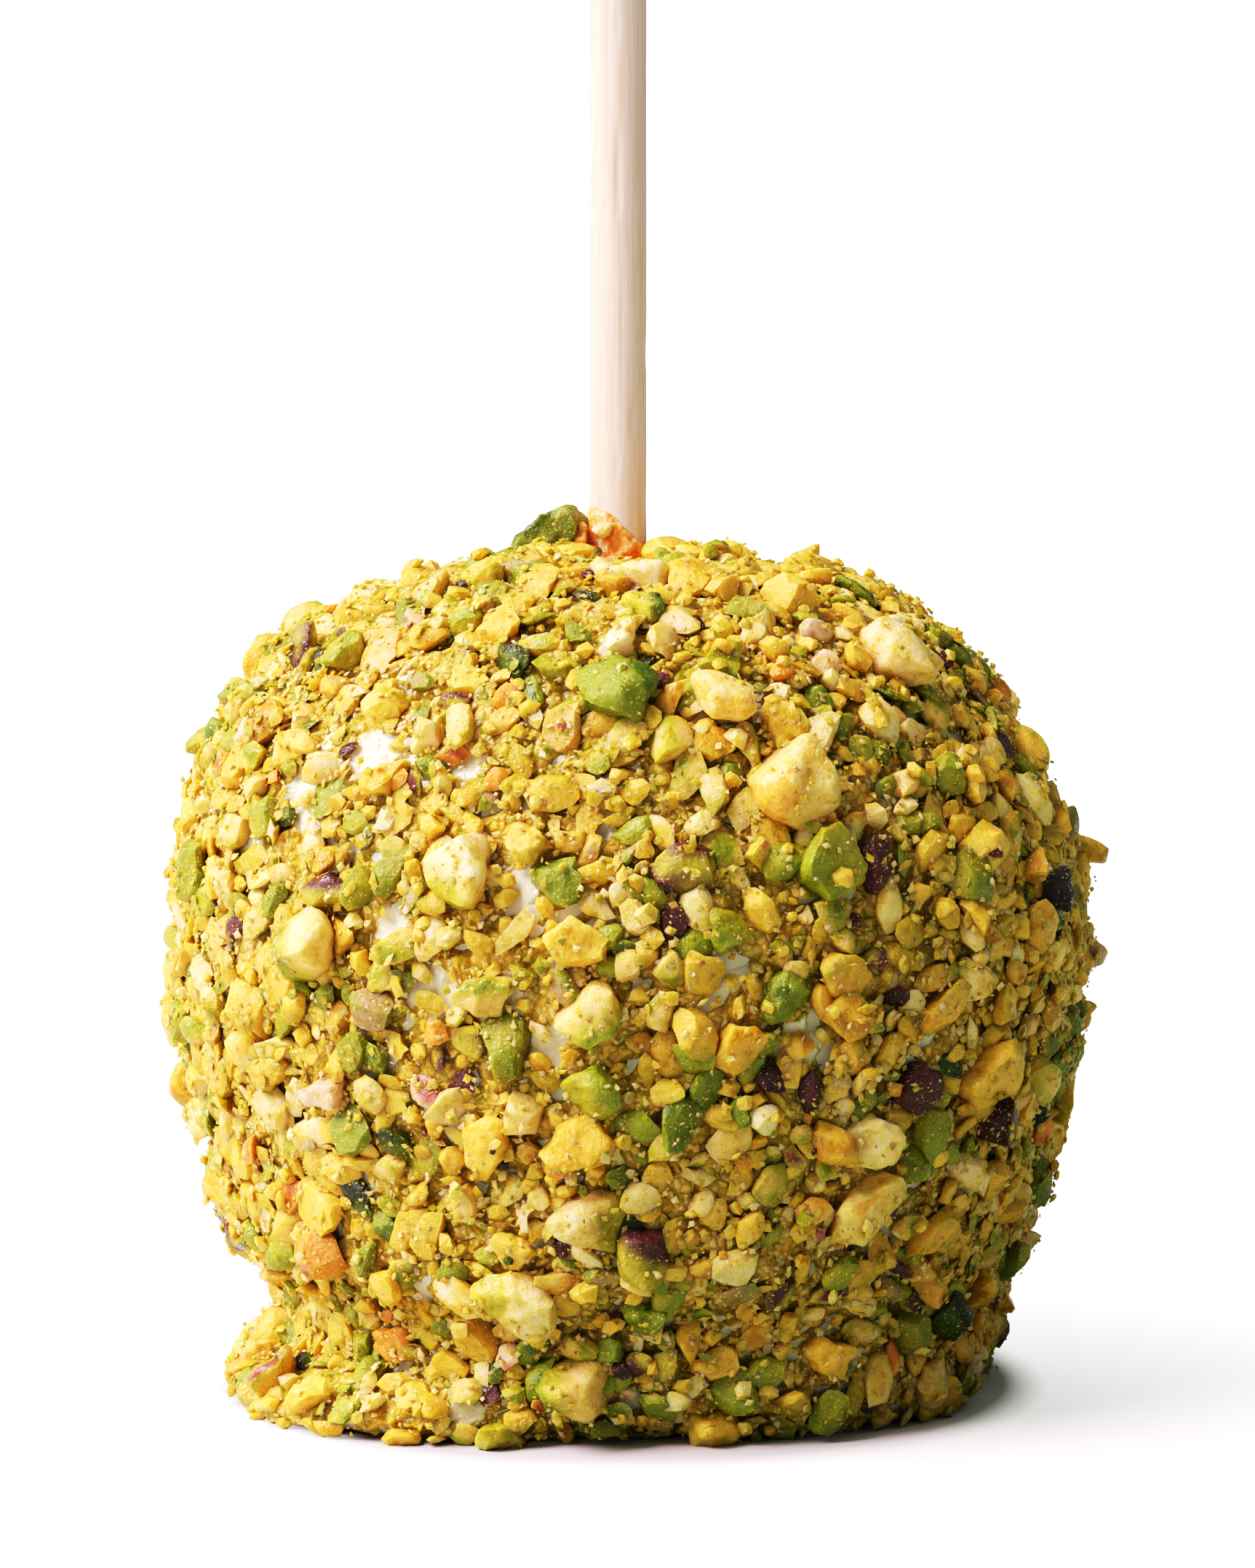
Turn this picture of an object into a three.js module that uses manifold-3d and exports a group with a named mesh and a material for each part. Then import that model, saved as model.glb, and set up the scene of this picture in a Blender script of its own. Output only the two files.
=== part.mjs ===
// A dipped apple on a stick: an apple in a smooth pale coat, rolled in chopped
// pistachios, standing on the foot that its coat pooled into, with a round
// wooden stick in its top and a dab of caramel where the stick goes in.
//
// Millimetres, +Z up. The origin is on the stick's axis, on the flat underside
// of the foot. Azimuth 0 faces the front, which is -Y, and +90 degrees is +X.

import * as THREE from 'three';
import { mergeVertices } from 'three/addons/utils/BufferGeometryUtils.js';
import Module from 'manifold-3d';

const wasm = await Module();
wasm.setup();

// ---- Driving dimensions ----

const stickDiameter = 5.9;
const stickLength = 140;
const stickDepth = 54;
const stickEndChamfer = 0.6;
const appleOffset = 1; // the apple's middle lies this far to the right of the stick
const gap = 0.3; // kept between one piece and the next

// Half the outline of the coated apple, as radius and height, from the middle
// of its underside, out round the foot and up over the shoulder to the stick.
const outline = [
  [0, 0], [18, 0], [31, 0], [35.3, 1.2], [37, 4.5], [38, 9.5],
  [39.3, 16], [41.3, 25], [43.8, 35], [44.9, 46], [43.6, 56], [40.6, 64.5],
  [36.3, 71], [30, 76.8], [22, 80.5], [13, 82.2], [6, 82], [0, 81.6],
].map(([radius, height]) => new THREE.Vector2(radius, height));
const outlineCurve = new THREE.SplineCurve(outline);

// The coat is round where it is narrow, and out of round from this radius on.
const unevenRadius = 36;
const footFallOff = 3.2; // how quickly the pooled foot draws in above the ground
const creaseHeight = 9.3; // of the crease's middle, between the foot and the body
const creaseHalfHeight = 5.4;
const shoulderHeight = 66; // where the left shoulder is fuller than the right one
const shoulderBand = 9;
const shoulderLean = 1.3;

const nutBed = 1.1; // the layer of fine nuts over the coat
const bumpHeight = 1.4; // of the uneven nut bed, above and below its middle
const bedRise = 2; // the bed begins at the ground and is full at this height
const bedInner = 8; // round the stick it begins at this radius
const bedFull = 14; // and is full at this one
const coreSides = 44;
const coreRings = 32;
const roundSides = 32; // of the stick and its hole

// ---- The coated apple's surface ----

// The same number from 0 to 1 for the same piece and purpose, every time.
function draw(piece, purpose) {
  const wave = Math.sin(piece * 12.9898 + purpose * 78.233) * 43758.5453;
  return wave - Math.floor(wave);
}

const radians = (degrees) => (degrees * Math.PI) / 180;

// A smooth hump of height 1 round the apple, about one azimuth.
function hump(azimuth, middle, width) {
  const apart = ((((azimuth - middle + 180) % 360) + 360) % 360) - 180;
  return Math.exp(-((apart / width) ** 2));
}

// How far the pooled foot reaches out, by azimuth: widest at the front left
// corner, and drawn in at the front and on the right.
function footReach(azimuth) {
  return 0.5 + 5.4 * hump(azimuth, -56, 30) - 5.8 * hump(azimuth, 2, 30)
    - 2.2 * hump(azimuth, 95, 35) + 1.5 * hump(azimuth, -160, 40);
}

// How deep the crease between the foot and the body is: deepest on the left.
function creaseDepth(azimuth) {
  return 1.8 + 2.4 * hump(azimuth, -90, 50) + hump(azimuth, -10, 40) - hump(azimuth, 90, 45);
}

// A point of the coat, `along` the outline from 0 under the foot to 1 at the stick.
function coatPoint(along, azimuth) {
  const { x: radius, y } = outlineCurve.getPoint(along);
  const height = Math.max(y, 0);
  const share = Math.min(radius / unevenRadius, 1) ** 3;
  const foot = footReach(azimuth) * Math.exp(-((Math.max(height - 1, 0) / footFallOff) ** 2));
  const crease = creaseDepth(azimuth)
    * Math.exp(-(((height - creaseHeight) / creaseHalfHeight) ** 4));
  const shoulder = shoulderLean * Math.sin(radians(azimuth))
    * Math.exp(-(((height - shoulderHeight) / shoulderBand) ** 2));
  const reach = radius + share * (foot - crease - shoulder);
  return new THREE.Vector3(
    appleOffset + reach * Math.sin(radians(azimuth)),
    -reach * Math.cos(radians(azimuth)),
    height,
  );
}

// The coat's outward normal, and its level and rising directions, at a point.
function coatFrame(along, azimuth) {
  const nearby = 0.004; // a step along the outline, small enough to be straight
  const low = Math.max(along - nearby, 0);
  const high = Math.min(along + nearby, 1);
  const rise = coatPoint(high, azimuth).sub(coatPoint(low, azimuth)).normalize();
  const level = coatPoint(along, azimuth + 1).sub(coatPoint(along, azimuth - 1)).normalize();
  const out = level.clone().cross(rise).normalize();
  return { out, level, up: out.clone().cross(level) };
}

// The closed body of the coat and its nut bed, uneven in bumps as large as the nuts.
function nutBedGeometry() {
  const positions = [];
  const faces = [];
  positions.push(appleOffset, 0, 0);
  for (let ring = 1; ring < coreRings; ring += 1) {
    const along = ring / coreRings;
    for (let side = 0; side < coreSides; side += 1) {
      const azimuth = (360 * (side + (ring % 2) / 2)) / coreSides;
      const point = coatPoint(along, azimuth);
      const raised = THREE.MathUtils.smoothstep(point.z, 0, bedRise)
        * THREE.MathUtils.smoothstep(Math.hypot(point.x, point.y), bedInner, bedFull);
      const bump = bumpHeight * (2 * draw(ring * coreSides + side, 9) - 1);
      point.addScaledVector(coatFrame(along, azimuth).out, raised * (nutBed + bump));
      positions.push(point.x, point.y, Math.max(point.z, 0));
    }
  }
  const top = positions.length / 3;
  positions.push(appleOffset, 0, coatPoint(1, 0).z);
  const at = (ring, side) => 1 + (ring - 1) * coreSides + (side % coreSides);
  for (let side = 0; side < coreSides; side += 1) {
    faces.push(0, at(1, side + 1), at(1, side));
    faces.push(top, at(coreRings - 1, side), at(coreRings - 1, side + 1));
  }
  for (let ring = 1; ring < coreRings - 1; ring += 1) {
    const lean = ring % 2; // every other ring is turned by half a side
    for (let side = 0; side < coreSides; side += 1) {
      const [a, b] = [at(ring, side), at(ring, side + 1)];
      const [c, d] = [at(ring + 1, side), at(ring + 1, side + 1)];
      if (lean) faces.push(a, b, d, a, d, c);
      else faces.push(a, b, c, b, d, c);
    }
  }
  const geometry = new THREE.BufferGeometry();
  geometry.setAttribute('position', new THREE.Float32BufferAttribute(positions, 3));
  geometry.setIndex(faces);
  return geometry;
}

// ---- The largest pieces of nut ----

// The pieces that stand out on the front: azimuth, height on the coat, length,
// width, and the turn of the length from level, anticlockwise.
const markedPieces = [
  [4, 79.6, 6.8, 3.6, -12], [3, 76.4, 5.0, 3.6, -60], [-24, 79.8, 4.8, 4.0, 10],
  [-24, 77.4, 4.2, 4.0, 40], [-20, 74.2, 5.5, 3.4, 15], [-2, 72.6, 4.2, 3.8, 60],
  [-2, 69, 7.8, 6.4, -50], [12, 68, 6.6, 4.2, -50], [44, 72, 7.6, 6.8, 20],
  [72, 73.5, 5.0, 3.6, -30], [20, 60.5, 8.8, 7.4, -60], [23, 53, 6.8, 5.6, 10],
  [30, 54, 6.2, 3.2, 75], [62, 50.5, 4.4, 3.6, 90], [-19, 53, 7.6, 5.6, 70],
  [-11, 55.5, 5.2, 3.6, 0], [-37, 51, 5.6, 3.2, -10], [-38, 46.5, 6.4, 5.4, 30],
  [-66, 52.5, 6.8, 3.4, 85], [11, 48, 4.4, 3.4, 0], [-5, 47, 5.6, 3.8, 20],
  [25, 44, 5.0, 4.4, 60], [18, 42, 5.0, 4.2, 45], [-4, 41, 6.4, 5.0, 50],
  [-16, 42.5, 5.8, 3.2, 25], [-38, 33, 4.4, 3.6, 30], [-4, 34.5, 6.2, 4.0, 20],
  [-5, 29.5, 5.8, 4.2, 35], [12, 38, 5.0, 4.2, -30], [30, 29.5, 6.6, 4.8, 20],
  [36, 33.5, 4.4, 4.0, 50], [48, 34, 6.8, 5.8, 0], [-17, 29, 5.8, 3.6, 65],
  [-5, 22.5, 9.6, 4.6, -8], [-14, 15.5, 7.2, 6.2, 20], [-14, 19.5, 5.0, 3.8, -20],
  [2, 19.5, 6.4, 4.2, 55], [2, 14, 6.0, 4.4, 20], [31, 22.5, 10.4, 5.2, 25],
  [30, 8.5, 5.0, 4.6, 30], [-8, 5.5, 6.8, 6.4, 0], [-38, 9, 4.6, 3.2, -20],
  [-57, 3, 6.2, 5.2, 20], [50, 4, 4.8, 4.4, 40], [14, 2.5, 5.6, 3.6, 0],
  [82, 55, 7.6, 4.2, -40], [-75, 20, 5.6, 4.4, -30], [-47, 72, 5.4, 3.8, 20],
  [-84, 37, 5.8, 4.0, 80], [-86, 30.5, 6.0, 4.2, 60], [86, 51, 5.6, 4.0, 70],
  [87, 44, 6.0, 4.4, 90], [-83, 65, 5.0, 3.6, 60],
];

const scatteredPieces = 157; // places tried for the rest
const scatterStep = 61; // shares of the area between one place and the next
const goldenAngle = 180 * (3 - Math.sqrt(5));
const scatterJitter = 25; // degrees by which a place is moved round, at most
const longestScattered = 9;
const shortestScattered = 5.6;
const spacing = 0.85; // between two pieces, as a share of their half lengths
const frontSector = 88; // the marked pieces alone cover the front, up to this azimuth
const topClearance = 9.5; // no piece's middle comes nearer the stick than this
const caramelView = 8; // half the breadth that is kept clear before the caramel
const caramelViewHeight = 79;

const footRim = 3 / (outline.length - 1); // where the outline leaves the flat underside

// The place along the outline where the coat has the given height above the foot.
function alongAtHeight(height) {
  let low = footRim;
  let high = 1;
  for (let step = 0; step < 30; step += 1) {
    const middle = (low + high) / 2;
    if (outlineCurve.getPoint(middle).y < height) low = middle;
    else high = middle;
  }
  return (low + high) / 2;
}

// The place along the outline below which the given share of the coat's area lies.
function alongAtShare(share) {
  const steps = 400;
  const areas = [0];
  for (let step = 1; step <= steps; step += 1) {
    const [from, to] = [step - 1, step].map((end) => (
      outlineCurve.getPoint(footRim + ((1 - footRim) * end) / steps)));
    areas.push(areas.at(-1) + (from.x + to.x) * from.distanceTo(to));
  }
  const reached = areas.findIndex((area) => area >= share * areas.at(-1));
  return footRim + ((1 - footRim) * reached) / steps;
}

// The broken half of a kernel that leans on the stick at its left, and the piece
// that it rests on. They face the front.
const facingFront = {
  out: new THREE.Vector3(0, -1, 0),
  level: new THREE.Vector3(1, 0, 0),
  up: new THREE.Vector3(0, 0, 1),
};
const piecesByStick = [
  { seed: 4872, middle: [-6.9, -2.2, 86.3], halves: [4.4, 2.3, 2.6], turn: 39 },
  { seed: 901, middle: [-8.6, -0.6, 83.6], halves: [3.6, 2.6, 3], turn: 8 },
].map((piece) => (
  { ...piece, middle: new THREE.Vector3(...piece.middle), frame: facingFront }));

// A piece of nut that lies on the coat: where it is, how it lies, its half sizes.
function pieceOnCoat(seed, azimuth, along, length, width, turn) {
  const thickness = width * (0.6 + 0.3 * draw(seed, 1));
  const frame = coatFrame(along, azimuth);
  const proud = nutBed + thickness * (0.05 + 0.2 * draw(seed, 2));
  const middle = coatPoint(along, azimuth).addScaledVector(frame.out, proud);
  return { seed, middle, frame, turn, halves: [length / 2, width / 2, thickness / 2] };
}

function markedPieceList() {
  return markedPieces.map(([azimuth, height, ...shape], index) => (
    pieceOnCoat(index + 1, azimuth, alongAtHeight(height), ...shape)));
}

// Pieces spread evenly over the rest, the largest first, each left out where it
// would lie on one that is already there.
function scatteredPieceList(placed) {
  const pieces = [];
  for (let index = 0; index < scatteredPieces; index += 1) {
    const seed = 100 + index;
    const share = ((index * scatterStep) % scatteredPieces + draw(seed, 3)) / scatteredPieces;
    const azimuth = ((index * goldenAngle + scatterJitter * draw(seed, 4)) % 360) - 180;
    const length = longestScattered
      - (longestScattered - shortestScattered) * (index / scatteredPieces) ** 0.6;
    const width = length * (0.5 + 0.35 * draw(seed, 5));
    const turn = 180 * draw(seed, 6);
    const piece = pieceOnCoat(seed, azimuth, alongAtShare(share), length, width, turn);
    const free = [...placed, ...pieces].every((other) => (
      other.middle.distanceTo(piece.middle) > spacing * (other.halves[0] + piece.halves[0])));
    const { x, y, z } = piece.middle;
    const beforeCaramel = Math.abs(x) < caramelView && y < 0 && z > caramelViewHeight;
    const atFront = Math.abs(azimuth) < frontSector;
    if (free && !atFront && !beforeCaramel && Math.hypot(x, y) > topClearance) pieces.push(piece);
  }
  return pieces;
}

const fullness = 1.15; // makes up for what the broken faces take off the stated size

// The flat broken faces of a piece: five round it and one on top, each as its
// normal in the piece's own axes and its distance from the middle.
function brokenFaces(seed, halves) {
  const ring = [0, 1, 2, 3, 4].map((face) => ({
    turn: 2 * Math.PI * (face / 5 + 0.17 * draw(seed, 10 + face)),
    tilt: 0.45 * (2 * draw(seed, 20 + face) - 1),
    share: 0.55 + 0.4 * draw(seed, 30 + face),
  }));
  const top = {
    turn: 2 * Math.PI * draw(seed, 9),
    tilt: Math.PI / 2 - 0.6 * draw(seed, 8),
    share: 0.5 + 0.35 * draw(seed, 7),
  };
  return [...ring, top].map(({ turn, tilt, share }) => {
    const level = Math.cos(tilt);
    const normal = [Math.cos(turn) * level, Math.sin(turn) * level, Math.sin(tilt)];
    const kernel = Math.hypot(...normal.map((part, axis) => part * halves[axis]));
    return { normal, distance: share * kernel };
  });
}

// How far the piece reaches in one direction, given in its own axes: to the skin
// of the whole kernel, or to the nearest broken face.
function pieceReach(seed, halves, faces, direction) {
  const kernelScale = 1 + 0.3 * draw(seed, 41);
  const kernel = Math.hypot(...direction.map((part, axis) => part / halves[axis])) / kernelScale;
  const nearness = faces.map(({ normal, distance }) => (
    direction.reduce((total, part, axis) => total + part * normal[axis], 0) / distance));
  return fullness / Math.max(kernel, ...nearness);
}

function pieceGeometry({ seed, middle, frame, turn, halves }, shape) {
  const geometry = shape.clone();
  const position = geometry.getAttribute('position');
  const across = frame.level.clone().applyAxisAngle(frame.out, radians(turn));
  const along = frame.up.clone().applyAxisAngle(frame.out, radians(turn));
  const faces = brokenFaces(seed, halves);
  for (let index = 0; index < position.count; index += 1) {
    const unit = new THREE.Vector3().fromBufferAttribute(position, index).normalize();
    const reach = pieceReach(seed, halves, faces, unit.toArray());
    const point = middle.clone()
      .addScaledVector(across, unit.x * reach)
      .addScaledVector(along, unit.y * reach)
      .addScaledVector(frame.out, unit.z * reach);
    position.setXYZ(index, point.x, point.y, point.z);
  }
  return geometry;
}

// ---- Solids, joined and cut ----

function solid(geometry) {
  const bare = geometry.clone();
  bare.deleteAttribute('normal');
  bare.deleteAttribute('uv');
  const merged = mergeVertices(bare, 1e-4);
  return new wasm.Manifold(new wasm.Mesh({
    numProp: 3,
    vertProperties: new Float32Array(merged.getAttribute('position').array),
    triVerts: new Uint32Array(merged.getIndex().array),
  }));
}

function geometryOf(body) {
  const { vertProperties, triVerts } = body.getMesh();
  const geometry = new THREE.BufferGeometry();
  geometry.setAttribute('position', new THREE.Float32BufferAttribute(vertProperties, 3));
  geometry.setIndex([...triVerts]);
  const faceted = geometry.toNonIndexed();
  faceted.computeVertexNormals();
  return faceted;
}

function largestPart(body) {
  return body.decompose().reduce((best, part) => (part.volume() > best.volume() ? part : best));
}

// ---- Caramel where the stick goes in ----

const collarBase = 82.35;
const collarTop = 87.6; // in the middle: its upper edge runs down to the right
const collarSlope = 0.7; // how far the upper edge drops, for each millimetre
const collarNeck = 3.8; // radius round the stick
const collarFoot = 6.4; // radius where it spreads over the coat
const collarWaves = 0.05; // how uneven its outside is, as a share of its radius
const collarSides = 28;

// A lathe profile turned round the stick, its top edge tilted, with every face
// moved out by `grown`.
function collarGeometry(grown) {
  const inner = stickDiameter / 2 + gap - grown;
  const base = collarBase - grown;
  const profile = [
    [inner, base],
    [collarFoot + grown, base],
    [collarFoot - 0.3 + grown, base + 0.8],
    [collarNeck + 0.7 + grown, base + 1.9],
    [collarNeck + grown, base + 3.2],
    [collarNeck - 0.2 + grown, collarTop + grown],
    [inner, collarTop + grown],
    [inner, base],
  ].map(([radius, height]) => new THREE.Vector2(Math.max(radius, 0.001), height));
  const geometry = new THREE.LatheGeometry(profile, collarSides);
  geometry.rotateX(Math.PI / 2);
  const position = geometry.getAttribute('position');
  for (let index = 0; index < position.count; index += 1) {
    const [x, y, z] = [position.getX(index), position.getY(index), position.getZ(index)];
    const risen = (z - base) / (collarTop - base);
    const outside = Math.hypot(x, y) > inner + 0.2;
    const wavy = outside ? 1 + collarWaves * Math.sin(3 * Math.atan2(y, x) + 0.6) : 1;
    position.setXYZ(index, x * wavy, y * wavy, z - collarSlope * x * risen);
  }
  return geometry;
}

// ---- The stick ----

function stickGeometry() {
  const radius = stickDiameter / 2;
  const endRadius = radius - stickEndChamfer;
  const profile = [
    [0, 0], [endRadius, 0], [radius, stickEndChamfer],
    [radius, stickLength - stickEndChamfer], [endRadius, stickLength], [0, stickLength],
  ].map(([across, height]) => new THREE.Vector2(across, height));
  const geometry = new THREE.LatheGeometry(profile, roundSides);
  geometry.rotateX(Math.PI / 2);
  return geometry;
}

function stickHole(bottom) {
  const length = 2 * stickLength;
  const radius = stickDiameter / 2 + gap;
  const geometry = new THREE.CylinderGeometry(radius, radius, length, roundSides);
  geometry.rotateX(Math.PI / 2);
  geometry.translate(0, 0, bottom + length / 2);
  return geometry;
}

// ---- Assembly ----

const stickBottom = coatPoint(1, 0).z - stickDepth;
const groundBreadth = 300; // of the block that cuts off what is below the foot
const groundDepth = 50;

function appleGeometry() {
  const placed = [...piecesByStick, ...markedPieceList()];
  const large = new THREE.OctahedronGeometry(1, 1);
  const small = new THREE.IcosahedronGeometry(1, 0);
  const pieces = [
    ...placed.map((piece) => pieceGeometry(piece, large)),
    ...scatteredPieceList(placed).map((piece) => pieceGeometry(piece, small)),
  ].map(solid);
  const covered = wasm.Manifold.union([solid(nutBedGeometry()), ...pieces]);
  const ground = new THREE.BoxGeometry(groundBreadth, groundBreadth, groundDepth);
  ground.translate(0, 0, -groundDepth / 2);
  const cuts = [ground, stickHole(stickBottom - gap), collarGeometry(gap)].map(solid);
  const cut = covered.subtract(wasm.Manifold.union(cuts));
  return geometryOf(largestPart(cut));
}

function named(name, geometry, material) {
  const mesh = new THREE.Mesh(geometry, material);
  mesh.name = name;
  return mesh;
}

const chopped = new THREE.MeshStandardMaterial({ color: 0xc9a92c, roughness: 0.6, metalness: 0 });
const wood = new THREE.MeshStandardMaterial({ color: 0xe9d3b4, roughness: 0.7, metalness: 0 });
const caramel = new THREE.MeshStandardMaterial({ color: 0xe0761c, roughness: 0.25, metalness: 0 });

const stick = named('stick', stickGeometry(), wood);
stick.position.z = stickBottom;

const apple = new THREE.Group();
apple.add(named('coated_apple', appleGeometry(), chopped));
apple.add(named('caramel_collar', collarGeometry(0), caramel));
apple.add(stick);

export default apple;
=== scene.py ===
"""A dipped apple on a round wooden stick, rolled in chopped pistachios.

The coat, its bed of nut meal and the largest nuts follow the same formulas as
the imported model. Everything that is made here is measured in millimetres, and
scaled to metres when its mesh is written. Azimuth 0 faces the front, -Y.
"""
import math

import bmesh
import bpy
import numpy as np
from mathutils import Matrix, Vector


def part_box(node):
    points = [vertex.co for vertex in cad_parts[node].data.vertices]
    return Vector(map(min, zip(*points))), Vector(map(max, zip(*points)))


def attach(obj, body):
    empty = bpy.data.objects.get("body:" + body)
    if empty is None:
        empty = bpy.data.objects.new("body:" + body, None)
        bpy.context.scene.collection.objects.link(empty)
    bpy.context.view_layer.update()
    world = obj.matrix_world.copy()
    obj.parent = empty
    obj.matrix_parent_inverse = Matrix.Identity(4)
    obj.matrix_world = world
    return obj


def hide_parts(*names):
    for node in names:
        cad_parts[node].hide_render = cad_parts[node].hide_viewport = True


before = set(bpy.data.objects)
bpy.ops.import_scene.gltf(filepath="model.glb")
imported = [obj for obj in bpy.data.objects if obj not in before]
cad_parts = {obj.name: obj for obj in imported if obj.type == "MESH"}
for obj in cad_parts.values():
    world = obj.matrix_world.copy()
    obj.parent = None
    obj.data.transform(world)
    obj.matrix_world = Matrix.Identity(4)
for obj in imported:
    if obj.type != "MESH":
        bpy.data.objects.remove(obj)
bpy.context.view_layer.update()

MM = 0.001


# ---- Sizes ----

def node_box(node):
    """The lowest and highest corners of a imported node, in millimetres."""
    low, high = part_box(node)
    return np.array(low) / MM, np.array(high) / MM


STICK_LOW, STICK_HIGH = node_box("stick")
STICK_RADIUS = (STICK_HIGH[0] - STICK_LOW[0]) / 2
COLLAR_LOW, COLLAR_HIGH = node_box("caramel_collar")

APPLE_OFFSET = 1.0  # the apple's middle lies this far to the right of the stick
NUT_BED = 1.1  # the layer of nut meal over the coat

# Half the coat's outline, as radius and height, from the middle of its
# underside, out round the foot and up over the shoulder to the stick.
OUTLINE = np.array([
    (0, 0), (18, 0), (31, 0), (35.3, 1.2), (37, 4.5), (38, 9.5),
    (39.3, 16), (41.3, 25), (43.8, 35), (44.9, 46), (43.6, 56), (40.6, 64.5),
    (36.3, 71), (30, 76.8), (22, 80.5), (13, 82.2), (6, 82), (0, 81.6),
], float)
FOOT_RIM = 3 / (len(OUTLINE) - 1)  # where the outline leaves the flat underside

CAMERA_RIGHT, CAMERA_AWAY, CAMERA_HEIGHT = 0.97, 303, 61  # from the foot of the stick


# ---- Colours ----

def colours(codes):
    """Colours written as sRGB hex, as linear red, green and blue."""
    parts = np.array([list(bytes.fromhex(code)) for code in codes.split()]) / 255
    return np.where(parts < 0.04045, parts / 12.92, ((parts + 0.055) / 1.055) ** 2.4)


CREAM, PALE, YELLOW = colours("f6da92 f3cf78 ecc14e")
GOLDEN, MUSTARD, OLIVE = colours("e4b846 c2901e bea428")
LIME, SPRING, GREEN = colours("bcb238 a6a42a 86931e")
DEEP_GREEN, BOTTLE_GREEN, AMBER = colours("50680f 1f2e12 e6b050")
ORANGE, RUST, PETAL = colours("e0963c a8562a e3bd94")
ROSE, PLUM, MAROON = colours("a2604e 5c3238 38150f")
SLATE, TAN, MOSS = colours("35323a ab9262 7f8f22")
IVORY, COAT_WHITE = colours("f9e8b8 f5eecf")

# What a nut of each kind looks like: broken flesh, the flesh just under its
# skin, and the skin itself.
KINDS = dict(
    golden=(GOLDEN, GOLDEN, MUSTARD),
    yellow=(YELLOW, YELLOW, OLIVE),
    mustard=(MUSTARD, GOLDEN, TAN),
    olive=(YELLOW, OLIVE, OLIVE),
    cream=(CREAM, PALE, YELLOW),
    half=(CREAM, PALE, LIME),
    lime=(PALE, LIME, GREEN),
    green=(SPRING, GREEN, GREEN),
    leaf=(MOSS, MOSS, DEEP_GREEN),
    rind=(LIME, DEEP_GREEN, BOTTLE_GREEN),
    bottle=(DEEP_GREEN, BOTTLE_GREEN, BOTTLE_GREEN),
    amber=(PALE, AMBER, AMBER),
    toast=(PALE, PALE, AMBER),
    ivory=(IVORY, CREAM, PALE),
    meal=(CREAM, PALE, PALE),
    orange=(ORANGE, ORANGE, RUST),
    petal=(PETAL, PETAL, ROSE),
    rose=(GOLDEN, LIME, ROSE),
    plum=(LIME, PLUM, PLUM),
    maroon=(PLUM, MAROON, MAROON),
    slate=(SLATE, SLATE, SLATE),
    bark=(TAN, MOSS, GREEN),
)
KIND_NAMES = list(KINDS)
KIND_COLOURS = np.array([KINDS[name] for name in KIND_NAMES])


# ---- Repeatable chance ----

def draw(piece, purpose):
    """The same number from 0 to 1 for the same piece and purpose, every time."""
    wave = np.sin(piece * 12.9898 + purpose * 78.233) * 43758.5453
    return wave - np.floor(wave)


def cell_value(cells, seed):
    """A number from 0 to 1 for each cell of a grid of whole numbers."""
    mixed = (cells * np.array([73856093, 19349663, 83492791])).sum(-1) + seed * 2654435
    mixed = ((mixed ^ (mixed >> 13)) & 0xFFFFFFF) * 1274126177
    return ((mixed ^ (mixed >> 16)) & 0xFFFF) / 65535.0


def noise(points, size, seed):
    """Smooth noise from -1 to 1, with lumps of the given size."""
    places = points / size
    cells = np.floor(places).astype(np.int64)
    part = places - cells
    part = part * part * (3 - 2 * part)
    total = 0.0
    for corner in np.ndindex(2, 2, 2):
        corner = np.array(corner)
        weight = np.where(corner == 1, part, 1 - part).prod(-1)
        total = total + weight * cell_value(cells + corner, seed)
    return 2 * total - 1


def flakes(points, size, slope, seed):
    """The height of tilted flakes of the given size, packed side by side, with
    grooves between them."""
    places = points / size
    cells = np.floor(places).astype(np.int64)
    nearest = np.full(len(points), 9.0)
    second = np.full(len(points), 9.0)
    height = np.zeros(len(points))
    for step in np.ndindex(3, 3, 3):
        cell = cells + np.array(step) - 1
        apart = places - cell - np.stack([cell_value(cell, seed + axis) for axis in range(3)], -1)
        distance = np.linalg.norm(apart, axis=-1)
        tilt = np.stack([cell_value(cell, seed + axis) for axis in (3, 4, 5)], -1) - 0.5
        level = cell_value(cell, seed + 6) - 0.5 + 2 * slope * (apart * tilt).sum(-1)
        closer = distance < nearest
        second = np.where(closer, nearest, np.minimum(second, distance))
        height = np.where(closer, level, height)
        nearest = np.where(closer, distance, nearest)
    return height - 0.5 * (1 - smoothstep(second - nearest, 0.0, 0.22))


# ---- The coat's surface ----

def hump(azimuth, middle, width):
    """A smooth hump of height 1 round the apple, about one azimuth."""
    apart = (azimuth - middle + 180) % 360 - 180
    return np.exp(-(apart / width) ** 2)


def smoothstep(value, low, high):
    part = np.clip((value - low) / (high - low), 0, 1)
    return part * part * (3 - 2 * part)


def outline_point(along):
    """Radius and height on the outline: a uniform Catmull-Rom spline."""
    last = len(OUTLINE) - 1
    place = np.clip(along, 0, 1) * last
    start = np.minimum(np.floor(place).astype(int), last - 1)
    part = (place - start)[..., None]
    before, here, there, after = (OUTLINE[np.clip(start + step, 0, last)] for step in (-1, 0, 1, 2))
    leave, arrive = (there - before) / 2, (after - here) / 2
    point = ((2 * here - 2 * there + leave + arrive) * part ** 3
             + (3 * there - 3 * here - 2 * leave - arrive) * part ** 2 + leave * part + here)
    return point[..., 0], np.maximum(point[..., 1], 0)


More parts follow.
